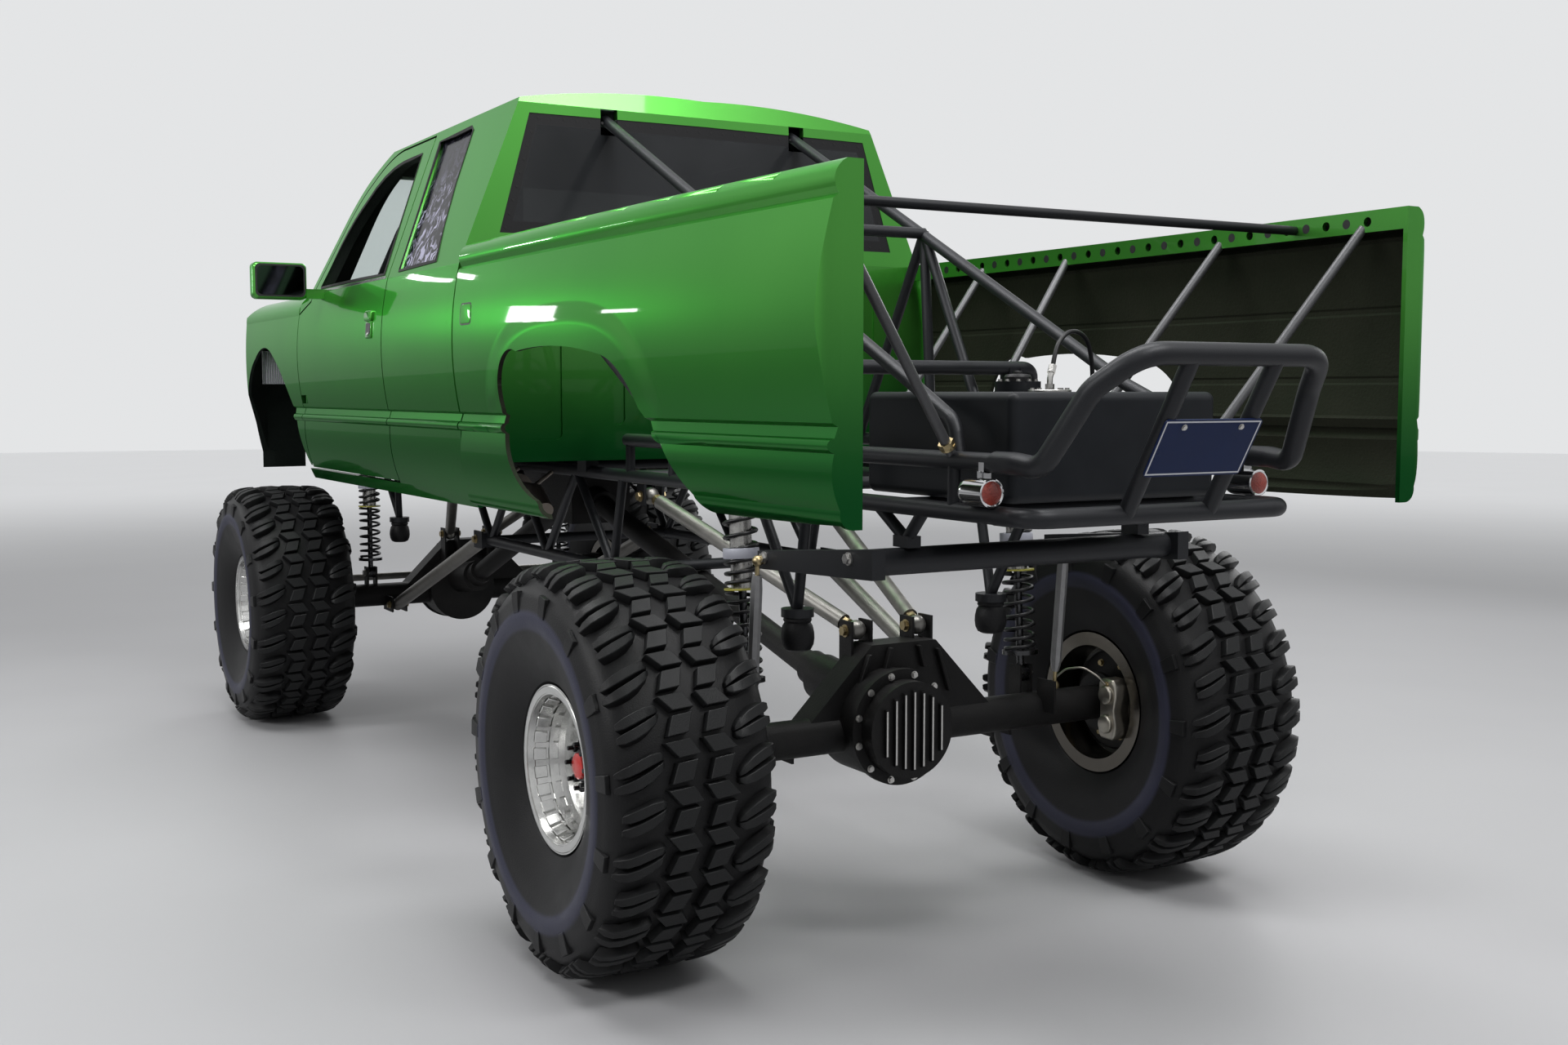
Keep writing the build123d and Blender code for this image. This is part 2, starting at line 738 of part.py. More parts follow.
roll_hanger = bars(
    [
        ((ROLL_BAR_X - 110, RAIL_Y, LOWER_RAIL_Z), (ROLL_BAR_X, RAIL_Y - 20, ROLL_BAR_Z + ROLL_BAR_R + 18)),
        ((ROLL_BAR_X + 110, RAIL_Y, LOWER_RAIL_Z), (ROLL_BAR_X, RAIL_Y - 20, ROLL_BAR_Z + ROLL_BAR_R + 18)),
    ],
    BRACE_TUBE,
) + block(
    ROLL_BAR_X - 34,
    ROLL_BAR_X + 34,
    RAIL_Y - 40,
    RAIL_Y,
    ROLL_BAR_Z + ROLL_BAR_R + FIT,
    ROLL_BAR_Z + ROLL_BAR_R + 30,
)


def upper_shock_tabs(shock_ends, hoop_z):
    """Tabs under a shock hoop."""
    x, y, z = shock_ends[1]
    return tabs(x - 26, x + 26, y, EYE_WIDTH / 2, z - 20, hoop_z)


rear_lattice = rear_lattice + pair(
    bump_hanger(0)
    + roll_hanger
    + tabs(1000, 1060, REAR_UPPER[1][1], BALL_R, LOWER_RAIL_Z - 100, LOWER_RAIL_Z)
)
rear_hoop = rear_hoop + pair(upper_shock_tabs(REAR_SHOCK, REAR_HOOP_Z))
NODES["frame_rear"] = Compound([coped(rear_lattice), coped(rear_hoop, rear_lattice)])
NODES["frame_middle"] = frame_middle + pair(
    tabs(1060, 1160, RAIL_Y, BALL_R, BELLY_Z - 36, BELLY_Z + 36)
    + tabs(2440, 2540, RAIL_Y, BALL_R, BELLY_Z - 36, BELLY_Z + 36)
    + block(1130, 1165, RAIL_Y - 40, RAIL_Y + 40, BELLY_Z - 30, BELLY_Z + 30)
    + block(2435, 2470, RAIL_Y - 40, RAIL_Y + 40, BELLY_Z - 30, BELLY_Z + 30)
)
upper_link_tab = block(
    3020,
    3100,
    RAIL_Y - MAIN_TUBE / 2 - TAB,
    RAIL_Y,
    LOWER_RAIL_Z - 70,
    LOWER_RAIL_Z,
)
NODES["frame_front"] = frame_front + pair(
    bump_hanger(FRONT_X) + upper_shock_tabs(FRONT_SHOCK, FRONT_HOOP_Z) + upper_link_tab
)


def axle_brackets(x, toward, shock_ends):
    """Link and shock tabs on one axle, for its left side."""
    ahead = -toward
    lower_x = x + ahead * LOWER_BALL_X
    upper_x = x + ahead * UPPER_BALL_X
    shock_x = shock_ends[0][0]
    shock_z = shock_ends[0][2]
    lower = tabs(min(x, lower_x + ahead * 36), max(x, lower_x + ahead * 36), LOWER_BALL_Y, BALL_R,
                 LOWER_BALL_Z - 34, LOWER_BALL_Z + 40)
    upper = tabs(upper_x - 34, upper_x + 34, UPPER_BALL_Y, BALL_R, 700, UPPER_BALL_Z + 30)
    shock_tabs = tabs(shock_x - 28, shock_x + 28, SHOCK_Y, EYE_WIDTH / 2, WHEEL_Z, shock_z + 28)
    return lower + upper + shock_tabs


drop_tab = block(-105, -20, DROP_FOOT[1] - 16 - FIT - TAB, DROP_FOOT[1] - 16 - FIT, WHEEL_Z, 645)
NODES["rear_axle"] = rear_axle + pair(axle_brackets(0, -1, REAR_SHOCK) + drop_tab)
NODES["front_axle"] = front_axle + pair(axle_brackets(FRONT_X, 1, FRONT_SHOCK))

# Brakes: rear calipers sit on the axle, front ones are part of the knuckles
caliper_foot = block(-165, -50, 806 + FIT, 880, WHEEL_Z - 45, WHEEL_Z + 45)
disc_room = Pos(0, (DISC_INNER_Y - RUNNING + 1000) / 2, WHEEL_Z) * Rot(90, 0, 0) * Cylinder(
    DISC_R + RUNNING, 1000 - DISC_INNER_Y + RUNNING
)
rear_caliper = caliper(0) + (caliper_foot - disc_room)
keep("calipers_rear", pair(rear_caliper))
front_caliper = Pos(FRONT_X, 0, 0) * (
    caliper(0) + (block(-165, -30, 790, 880, WHEEL_Z - 45, WHEEL_Z + 45) - disc_room)
)
NODES["knuckle_left"] = NODES["knuckle_left"] + front_caliper
NODES["knuckle_right"] = flip(NODES["knuckle_left"])

# Drivetrain: engine block, gearbox with transfer case, and the two shafts
ENGINE_X = (3480, 4140)
CRANK_Z = 1215
engine = block(*ENGINE_X, -240, 240, 1130, 1600)
engine_mounts = pair(bar((3800, 200, LOWER_RAIL_Z), (3800, RAIL_Y, LOWER_RAIL_Z), 60))
keep("engine", (engine + engine_mounts) - NODES["frame_front"])
gearbox = bar((ENGINE_X[0] - FIT, 0, CRANK_Z), (2450, 0, CRANK_Z), 170)
bell = bar((ENGINE_X[0] - FIT, 0, CRANK_Z), (3300, 0, CRANK_Z), 186)
transfer = block(2120, 2452, -90, 170, 1010, 1300)
keep("gearbox", gearbox + bell + transfer)
SHAFT_Y = DIFF_Y
PINION_Z = WHEEL_Z + 105
PINION_X = 330


def shaft(start, end, dia):
    """Drive shaft with a yoke block at each end."""
    a = Vector(*start)
    b = Vector(*end)
    way = (b - a).normalized()
    return bar(a, b, dia) + bar(a, a + way * 90, dia + 30) + bar(b - way * 90, b, dia + 30)


rear_shaft = shaft((2120 + 20, SHAFT_Y, 1110), (PINION_X - 20, SHAFT_Y, PINION_Z), 84)
front_shaft = shaft((2452 - 20, SHAFT_Y, 1080), (FRONT_X - PINION_X + 20, SHAFT_Y, PINION_Z), 84)
keep(
    "drive_shafts",
    Part()
    + [
        coped(rear_shaft, NODES["gearbox"], NODES["rear_axle"]),
        coped(front_shaft, NODES["gearbox"], NODES["front_axle"]),
    ],
)

# Exhaust: a pipe and muffler outside each rail, turned down at the rear
EXHAUST_Y = 520
EXHAUST_Z = 1180
exhaust = bent_tube(
    [
        (3300, EXHAUST_Y, EXHAUST_Z),
        (1620, EXHAUST_Y, EXHAUST_Z),
        (1480, EXHAUST_Y + 20, EXHAUST_Z - 60),
    ],
    62,
    60,
) + bar((1800, EXHAUST_Y, EXHAUST_Z), (2300, EXHAUST_Y, EXHAUST_Z), 120)
hangers = bars([((x, EXHAUST_Y, EXHAUST_Z), (x, RAIL_Y, LOWER_RAIL_Z)) for x in (1700, 2050, 2500)], 16)
keep("exhaust", pair(coped(exhaust + hangers, NODES["frame_middle"])))

# Fuel tank between the rear rails
TANK_X = (-963, -330)
TANK_Y = 330
TANK_EDGE_R = 22
TANK_Z = (LOWER_RAIL_Z + CROSS_TUBE / 2 + FIT, 1550)
tank = fillet(block(*TANK_X, -TANK_Y, TANK_Y, *TANK_Z).edges(), TANK_EDGE_R)
tank = tank + Pos(-640, 60, TANK_Z[1] + 12) * Cylinder(60, 30)
keep("fuel_tank", tank)

# Lamps and plate at the tail
LAMP_Z = 1316
LAMP_R = 34
lamp = bar((-1015, 430, LAMP_Z), (-940, 430, LAMP_Z), 2 * LAMP_R)
lamp = lamp + (Pos(-940, 430, LAMP_Z) * Sphere(LAMP_R))
lamp = lamp + block(-985, -965, 408, 430, LAMP_Z, UPPER_RAIL_Z)
keep("tail_lamps", pair(lamp) - frame_rear - bumper)
PLATE_WIDTH = 305
PLATE_HEIGHT = 152
post_way = Vector(REAR_HOOP_X + 1137, 0, 1640 - LOWER_RAIL_Z).normalized()
plate_face = Vector(post_way.Z, 0, -post_way.X) * -1
plate_mid = Vector(-1137, 0, LOWER_RAIL_Z) + post_way * 195
plate_place = Plane(origin=plate_mid + plate_face * (POST_TUBE / 2 + FIT), x_dir=(0, 1, 0), z_dir=plate_face)
keep("plate_blank", extrude(plate_place * RectangleRounded(PLATE_WIDTH, PLATE_HEIGHT, 12), amount=3))


# Body shell: solid outlines, hollowed and then split where the panels meet

BELT_IN = 30
COWL_Z = 1950
DOOR_SKIN = 12
REBATE = 20
WIDE = 2000


def side_moves(width):
    """Moves up the left side from the sill to the belt, over the crease."""
    return [
        ((width - 36, 1300), (width - 27, CREASE_Z - 16)),
        ((width - 14, CREASE_Z), (width - 27, CREASE_Z + 16)),
        (width - 34, CREASE_Z + 40),
        (width - 22, CREASE_Z + 48),
        ((width, 1740), (width - BELT_IN, BELT_Z)),
    ]


def half_section(wall_low, wall_high, top_z):
    """Left half of the cab's cross-section, pulled in by its walls."""
    width = HALF_WIDTH - wall_low
    roof_y = ROOF_EDGE_Y - wall_high
    if wall_low > DOOR_SKIN:
        foot = (width, SILL_Z - 300)
        side = [(width, BELT_Z - 40)]
    else:
        foot = (width - 85, SILL_Z)
        side = side_moves(width)
    return face_from(
        (0, foot[1]),
        foot,
        *side,
        (HALF_WIDTH - BELT_IN - wall_high, BELT_Z + 1),
        (roof_y, ROOF_EDGE_Z - ROOF_Z + top_z),
        ((roof_y * 0.6, top_z - 9), (0, top_z)),
    )


def cab_profile(wall):
    """Side view of the cab, from its back wall to its windshield and firewall."""
    rear = CAB_REAR_X + wall
    return face_from(
        (rear, 800),
        (rear, 2030),
        (rear + 22, 2530),
        (rear + 60, 2700),
        (2430 - wall, 2700),
        (2440 - wall, ROOF_Z - 2 - wall / 2),
        ((2700 - wall, 2545 - wall), (2880 - wall, 2468 - wall)),
        ((3000 - wall, 2375 - wall / 2), (3075 - wall, 2262)),
        (3240 - wall, COWL_Z),
        (CAB_FRONT_X - wall, COWL_Z - 20),
        (CAB_FRONT_X - wall, 800),
    )


def cab_solid(wall_low, wall_high, wall_end, top_z):
    """Left half of the cab as one solid, inside the given walls."""
    section = half_section(wall_low, wall_high, top_z)
    body = along_x(section, CAB_REAR_X + wall_end, CAB_FRONT_X - wall_end)
    return body & across(cab_profile(wall_end), -10, WIDE)


BACK_WALL = 30
cab_outer = cab_solid(0, 0, 0, ROOF_Z)
cab_skin = cab_solid(DOOR_SKIN, DOOR_SKIN, DOOR_SKIN, ROOF_Z - DOOR_SKIN)
cab_inner = cab_solid(LOWER_WALL, UPPER_WALL, BACK_WALL, ROOF_Z - BACK_WALL)
under_floor = block(CAB_REAR_X - 10, CAB_FRONT_X + 10, -10, HALF_WIDTH - LOWER_WALL, 700, FLOOR_Z)
cab_inner = cab_inner + under_floor
cab_shell = cab_outer - cab_inner

# Door outline in side view, its window and the quarter window behind it
DOOR_OUTLINE = face_from(
    (DOOR_REAR_X, SILL_TOP_Z),
    (DOOR_REAR_X, BELT_Z),
    (DOOR_REAR_X + 78, 2526),
    (2500, 2526),
    ((2700, 2498), (2850, 2425)),
    ((2950, 2350), (3020, 2250)),
    (3185, COWL_Z - 10),
    (DOOR_FRONT_X, COWL_Z - 60),
    (DOOR_FRONT_X, SILL_TOP_Z),
)
DOOR_WINDOW = face_from(
    (2105, 1992),
    (2235, 2480),
    (2480, 2478),
    ((2690, 2440), (2830, 2360)),
    ((2930, 2280), (3000, 2180)),
    (3060, 1992),
)
QUARTER_WINDOW = face_from(
    (1490, 2000),
    (1556, 2130),
    (1612, 2290),
    (1650, 2490),
    (1690, 2510),
    (2045, 2500),
    (1925, 1992),
)
door_prism = across(DOOR_OUTLINE, 500, WIDE)
door_core = across(offset(DOOR_OUTLINE, -REBATE), 500, WIDE)
door_room = across(offset(DOOR_OUTLINE, SEAM), 500, WIDE)
door_window = across(DOOR_WINDOW, 500, WIDE)
quarter_hole = across(QUARTER_WINDOW, 500, WIDE)

door = ((cab_outer - cab_skin) & door_prism) + ((cab_skin - cab_inner) & door_core)
door = door - door_window

# The fixed cab: sills, sides with the quarter window, back wall, roof and front
ROOF_SPLIT_Z = 2534
FRONT_SPLIT_X = 2868
SIDE_JOIN_X = CAB_REAR_X + 56
body_rest = cab_shell - door_room


def zone(x_low, x_high, z_low, z_high, y_low=-10):
    """The part of the fixed cab's left half between the given limits."""
    return body_rest & block(x_low, x_high, y_low, WIDE, z_low, z_high)


SILL_SPLIT_Z = SILL_TOP_Z - SEAM
REAR_GLASS_TOP_Y = 672
REAR_GLASS = face_from((0, 2085), (HALF_WIDTH - 175, 2085), (REAR_GLASS_TOP_Y, 2495), (0, 2500))
rear_hole = along_x(REAR_GLASS, CAB_REAR_X - 60, CAB_REAR_X + 100)
SHIELD_LOW_Y = HALF_WIDTH - 165
SHIELD_TOP_Y = 640
SHIELD_LOW_Z = COWL_Z + 15
SHIELD_TOP_Z = 2462
SHIELD = face_from((0, SHIELD_LOW_Z), (SHIELD_LOW_Y, SHIELD_LOW_Z), (SHIELD_TOP_Y, SHIELD_TOP_Z), (0, SHIELD_TOP_Z))
shield_hole = along_x(SHIELD, 2600, CAB_FRONT_X + 10)

sill = zone(CAB_REAR_X, CAB_FRONT_X, SILL_Z, SILL_SPLIT_Z, HALF_WIDTH - LOWER_WALL)
keep("sills", pair(sill))
cab_side = zone(SIDE_JOIN_X, 2300, SILL_SPLIT_Z, ROOF_SPLIT_Z) - quarter_hole
keep("cab_side_left", cab_side)
keep("cab_side_right", flip(cab_side))
cage_slot = block(CAB_REAR_X - 60, CAB_REAR_X + 100, CAGE_Y - 24, CAGE_Y + 40, 2440, 2530)
cab_back = zone(CAB_REAR_X - 5, SIDE_JOIN_X, SILL_SPLIT_Z, ROOF_SPLIT_Z) - rear_hole - cage_slot
# columns: inner Y, outer Y and foot height of each panel pressed into the back wall
BACK_PANELS = ((97, 243, 1434), (335, 488, 1434), (573, 714, 1384))
PANEL_TOP_Z = 1930
PANEL_DEPTH = 7


def back_panel(y_low, y_high, z_low):
    """Room of one pressed panel with rounded corners."""
    middle = (CAB_REAR_X - 1, (y_low + y_high) / 2, (z_low + PANEL_TOP_Z) / 2)
    place = Plane(origin=middle, x_dir=(0, 1, 0), z_dir=(1, 0, 0))
    return extrude(place * RectangleRounded(y_high - y_low, PANEL_TOP_Z - z_low, 24), amount=PANEL_DEPTH + 1)


cab_back = cab_back - [back_panel(*row) for row in BACK_PANELS]
keep("cab_back", cab_back + flip(cab_back))
roof = zone(CAB_REAR_X - 5, FRONT_SPLIT_X, ROOF_SPLIT_Z, 2800)
keep("cab_roof", roof + flip(roof))
cab_front = zone(2500, CAB_FRONT_X, SILL_SPLIT_Z, ROOF_SPLIT_Z) - shield_hole

# Glass: windshield and quarter windows inside their openings, smoked plastic at the back
GLASS_IN = 12


def glass_layer():
    """A thin layer just inside the cab's outer skin, left half."""
    deep = GLASS_IN + GLASS
    outside = cab_solid(GLASS_IN, GLASS_IN, GLASS_IN, ROOF_Z - GLASS_IN)
    inside = cab_solid(deep, deep, deep, ROOF_Z - deep)
    return outside - inside


glass = glass_layer()
quarter_pane = glass & across(offset(QUARTER_WINDOW, -FIT), 500, WIDE)
shield_pane = glass & along_x(
    face_from(
        (0, SHIELD_LOW_Z + FIT),
        (SHIELD_LOW_Y - FIT, SHIELD_LOW_Z + FIT),
        (SHIELD_TOP_Y - FIT, SHIELD_TOP_Z - FIT),
        (0, SHIELD_TOP_Z - FIT),
    ),
    2600,
    CAB_FRONT_X + 10,
)
keep("cab_glass", pair(quarter_pane) + shield_pane + flip(shield_pane))
rear_pane = (
    cab_solid(2, 2, 2, ROOF_Z - 2) - cab_solid(8, 8, 8, ROOF_Z - 8)
) & along_x(
    face_from((0, 2085 + FIT), (HALF_WIDTH - 175 - FIT, 2085 + FIT), (REAR_GLASS_TOP_Y - FIT, 2495 - FIT), (0, 2500 - FIT)),
    CAB_REAR_X - 60,
    CAB_REAR_X + 100,
)
rear_pane = rear_pane - cage_slot
keep("rear_window", rear_pane + flip(rear_pane))

# Floor pan between the sills
FLOOR_THICK = 18
floor_half = block(
    CAB_REAR_X + BACK_WALL,
    CAB_FRONT_X - BACK_WALL,
    0,
    HALF_WIDTH - LOWER_WALL,
    FLOOR_Z,
    FLOOR_Z + FLOOR_THICK,
)
floor_half = floor_half - block(DOOR_FRONT_X - 180, CAB_FRONT_X, HALF_WIDTH - 130, HALF_WIDTH, FLOOR_Z - 10, FLOOR_Z + 50)
keep("cab_floor", floor_half + flip(floor_half))

# Nose: fenders, hood and grille panel cut from one hollow outline
FENDER_TOP_Z = 1985
HOOD_Z = 2012
HOOD_END_X = 4560
NOSE_BACK_X = CAB_FRONT_X + SEAM


def nose_section(wall):
    """Left half of the nose's cross-section."""
    width = HALF_WIDTH - wall
    return face_from(
        (0, SILL_Z - 200 * (wall > 0)),
        (width - 85, SILL_Z - 200 * (wall > 0)),
        *side_moves(width)[:-1],
        ((width, 1740), (width - 14, 1890)),
        ((width - 32, 1950 - wall), (width - 110, FENDER_TOP_Z - wall)),
        (HOOD_SEAM_Y, FENDER_TOP_Z + 6 - wall),
        ((400, HOOD_Z - 6 - wall), (0, HOOD_Z - wall)),
    )


def nose_profile(wall):
    """Side view of the nose, falling to the lamps."""
    return face_from(
        (3000, 700),
        (3000, 2200),
        (3600, 2200),
        (3700, 2016 - wall),
        ((4150, 1998 - wall), (4480, 1925 - wall)),
        ((4580, 1880 - wall), (4625 - wall, 1790)),
        (NOSE_X - wall, 1560),
        (NOSE_X - 10 - wall, SILL_Z + 120),
        (NOSE_X - 60 - wall, 700),
    )


def nose_plan(wall):
    """Plan view of the nose with its rounded front corners, left half."""
    return face_from(
        (3000, 0),
        (3000, 1200),
        (4150, 1200),
        (4150, HALF_WIDTH - wall),
        ((4480, HALF_WIDTH - 13 - wall), (4610 - wall, HALF_WIDTH - 115 - wall)),
        ((4640 - wall, 500), (NOSE_X - wall, 0)),
    )


def nose_solid(wall, back_x):
    """Left half of the nose as one solid."""
    body = along_x(nose_section(wall), back_x, NOSE_X + 20)
    body = body & across(nose_profile(wall), -10, WIDE)
    plan = extrude(Plane.XY.offset(700) * nose_plan(wall), amount=1500)
    return body & plan


nose_shell = nose_solid(0, DOOR_FRONT_X + SEAM) - nose_solid(SKIN, 3100)
nose_shell = nose_shell - block(3000, NOSE_BACK_X, -10, HALF_WIDTH - LOWER_WALL + 20, 700, 2200)
ARCH = face_from(
    (3322, 1100),
    (3500, 1390),
    ((3640, 1580), (3850, 1715)),
    ((4040, 1762), (4230, 1715)),
    ((4440, 1580), (4560, 1390)),
    (4600, 1240),
    (4600, 1100),
)
front_arch = across(ARCH, 300, WIDE)
hood_zone = block(NOSE_BACK_X, HOOD_END_X, -10, HOOD_SEAM_Y, 1780, 2200)
hood_room = block(NOSE_BACK_X - 50, HOOD_END_X + SEAM, -10, HOOD_SEAM_Y + 6, 1780, 2200)
GRILLE_LOW_Z = 1310
grille_zone = block(HOOD_END_X + SEAM, NOSE_X + 50, -10, 640, GRILLE_LOW_Z, 2200)
grille_room = block(HOOD_END_X + SEAM, NOSE_X + 50, -10, 640 + FIT, 700, 2200)
lamp_zone = block(4300, NOSE_X + 50, 640 + FIT, HALF_WIDTH - 105, 1590, 1760)
HOOD_HINGE = (CAB_FRONT_X + 22, 1962)
HINGE_Y = 600
HINGE_TAB = 8
HINGE_R = 16
HINGE_PIN_R = 6


def hinge_disc(y_low, y_high, radius):
    """A round boss about the hood's hinge line."""
    return bar((HOOD_HINGE[0], y_low, HOOD_HINGE[1]), (HOOD_HINGE[0], y_high, HOOD_HINGE[1]), 2 * radius)


bracket_out_y = HINGE_Y + HINGE_TAB
lug_in_y = bracket_out_y + FIT
lug_out_y = lug_in_y + HINGE_TAB
bracket_arm = face_from(
    (CAB_FRONT_X - 20, 1900),
    (HOOD_HINGE[0], HOOD_HINGE[1] - HINGE_R),
    HOOD_HINGE,
    (CAB_FRONT_X - 20, 1928),
)
hinge_bracket = across(bracket_arm, HINGE_Y, bracket_out_y) + hinge_disc(HINGE_Y, bracket_out_y, HINGE_R)
hinge_bracket = hinge_bracket + hinge_disc(HINGE_Y, lug_out_y + 3, HINGE_PIN_R)
hinge_lug = block(
    NOSE_BACK_X, HOOD_HINGE[0] + HINGE_R, lug_in_y, lug_out_y, HOOD_HINGE[1], HOOD_Z - 22
)
hinge_lug = hinge_lug + hinge_disc(lug_in_y, lug_out_y, HINGE_R)
hinge_lug = hinge_lug - hinge_disc(lug_in_y - 1, lug_out_y + 1, HINGE_PIN_R + FIT)
hood = (nose_shell & hood_zone) + hinge_lug
keep("hood", hood + flip(hood))
fender = nose_shell - front_arch - hood_room - grille_room
fender = fender - block(3000, NOSE_BACK_X + 30, -10, HALF_WIDTH - 120, 1900, 2200)
head_lamp = fender & lamp_zone
fender = fender - lamp_zone
UNDER_FENDER = face_from(
    (-10, 900),
    (HALF_WIDTH - 105, 900),
    (HALF_WIDTH - 105, 1200),
    (HALF_WIDTH - 65, 1300),
    (HALF_WIDTH - 55, 1420),
    (HALF_WIDTH - 57, 1480),
    (HALF_WIDTH - 35, 1740),
    (HALF_WIDTH - 45, 1890),
    (HALF_WIDTH - 65, 1930),
    (HALF_WIDTH - 130, 1962),
    (-10, 1968),
)
fender_room = block(DOOR_FRONT_X + SEAM - 2, CAB_FRONT_X + 60, -20, WIDE, 1100, 2100)
fender_room = fender_room - along_x(UNDER_FENDER, DOOR_FRONT_X - 50, CAB_FRONT_X + 80)
cab_front = (cab_front - fender_room) + (hinge_bracket - cab_inner)
# Door hinges: a swan-neck arm from the front pillar to a barrel inside the door
DOOR_HINGE_X = DOOR_FRONT_X - 80
DOOR_HINGE_Y = HALF_WIDTH - 25
HINGE_HEIGHTS = (1520, 1800)
HINGE_SLOT = 22
ARM_THICK = 20
ARM_IN_Y = HALF_WIDTH - 123


def door_hinge(z):
    """Barrel and swan-neck arm of one door hinge."""
    half = ARM_THICK / 2
    x = DOOR_HINGE_X
    low = z - 15
    high = z + 15
    barrel = Pos(x, DOOR_HINGE_Y, z) * Cylinder(10, 2 * (HINGE_SLOT - FIT))
    inward = block(x - half, x + half, ARM_IN_Y, DOOR_HINGE_Y, low, high)
    forward = block(x - half, CAB_FRONT_X - 10, ARM_IN_Y, ARM_IN_Y + ARM_THICK, low, high)
    return barrel + inward + forward


def hinge_pocket(z):
    """Room inside the door for one hinge."""
    return block(
        DOOR_HINGE_X - 16, DOOR_FRONT_X + 5, ARM_IN_Y - 4, DOOR_HINGE_Y + 12, z - HINGE_SLOT, z + HINGE_SLOT
    )


door = door - [hinge_pocket(z) for z in HINGE_HEIGHTS]
keep("door_left", door)
keep("door_right", flip(door))
cab_front = cab_front + [door_hinge(z) for z in HINGE_HEIGHTS]
keep("cab_front", coped(cab_front + flip(cab_front)))
keep("fender_left", fender)
keep("fender_right", flip(fender))
keep("head_lamps", pair(head_lamp))
GRILLE_HOLE = (4500, NOSE_X + 50, -10, 560, 1570, 1790)
grille = (nose_shell & grille_zone) - block(*GRILLE_HOLE)
bars_z = (1600, 1645, 1690, 1735)
grille_bars = Part() + [block(NOSE_X - 46, NOSE_X - 26, -10, 562, z, z + 18) for z in bars_z]
grille = grille + grille_bars
grille = grille + flip(grille)
keep("grille", grille)
NODES["frame_front"] = coped(NODES["frame_front"], grille)

# Bed sides: open skins with a rolled rail, bowed in plan, that turn the rear corner
BED_BULGE = 10
BOW_R = 40000
BOW_X = 450
RAIL_LIP = 58
RAIL_WIDTH = 96
BED_WIDE = HALF_WIDTH + BED_BULGE
BOW_AXIS = Axis((BOW_X, BED_WIDE - BOW_R, 0), (0, 0, 1))
SECTION_CHANGE_X = 150
BED_FOOT_Z = 1256
FOOT_TOP_Z = CREASE_Z + 16
FOOT_OUT = 27
CORNER_R = 42


def bed_upper(wall):
    """Section above the crease: panel, styling groove and rolled rail, filled to the rail's lip."""
    w = BED_WIDE - wall
    top = RAIL_Z - wall
    lip = BED_WIDE - RAIL_WIDTH + wall
    return face_from(
        (lip, FOOT_TOP_Z),
        (w - FOOT_OUT, FOOT_TOP_Z),
        (w - 35, CREASE_Z + 40),
        (w - 23, CREASE_Z + 48),
        ((w, 1740), (w - 24, 1952)),
        (w - 35, 1962),
        (w - 29, 1976),
        ((w - 36, 2020 - wall), (w - 56, top)),
        (lip, top),
    )


def bed_foot(wall, foot_z, tuck):
    """Section below the crease, down to a tucked-in bottom edge."""
    w = BED_WIDE - wall
    lip = BED_WIDE - RAIL_WIDTH + wall
    return face_from(
        (lip, FOOT_TOP_Z),
        (lip, foot_z + wall),
        (BED_WIDE - tuck - 34, foot_z + wall),
        ((w - tuck - 8 + wall * 0.3, foot_z + 12 + wall * 0.7), (w - tuck, foot_z + 42)),
        ((w - 22, CREASE_Z - 60), (w - 27, CREASE_Z - 16)),
        ((w - 14, CREASE_Z), (w - FOOT_OUT, FOOT_TOP_Z)),
    )


def bowed(section, x_from, x_to):
    """A bed section swept about the bow axis between two stations."""
    start = degrees(atan2(x_from - BOW_X, BOW_R))
    end = degrees(atan2(x_to - BOW_X, BOW_R))
    face = Plane.YZ.offset(BOW_X) * section
    face = face.rotate(BOW_AXIS, -start)
    return revolve(face, axis=BOW_AXIS, revolution_arc=start - end)


def bow_in(x):
    """How far a bed side is drawn in at a station."""
    return (x - BOW_X) ** 2 / (2 * BOW_R)


def bed_plan(wall):
    """Plan of a bed side with its rounded rear corner."""
    rear = BED_REAR_X + wall
    out = BED_WIDE - bow_in(BED_REAR_X) - wall
    radius = CORNER_R - wall
    bend = radius * (1 - 0.7071)
    return face_from(
        (BED_FRONT_X + 50, 500),
        (BED_FRONT_X + 50, BED_WIDE + 100),
        (-700, BED_WIDE + 100),
        (-700, BED_WIDE - bow_in(-700) + 2 - wall),
        (rear + radius, out + 2),
        ((rear + bend, out - bend), (rear, out - radius)),
        (rear, 500),
    )


def bed_solid(wall):
    """One bed side as a filled body, drawn in by a wall."""
    upper = bowed(bed_upper(wall), BED_FRONT_X + wall, BED_REAR_X - 40)
    front = bowed(bed_foot(wall, SILL_Z + 10, 46), BED_FRONT_X + wall, SECTION_CHANGE_X)
    rear = bowed(bed_foot(wall, BED_FOOT_Z, 40), SECTION_CHANGE_X, BED_REAR_X - 40)
    plan = extrude(Plane.XY.offset(1000) * bed_plan(wall), amount=1400)
    return (upper + front + rear) & plan


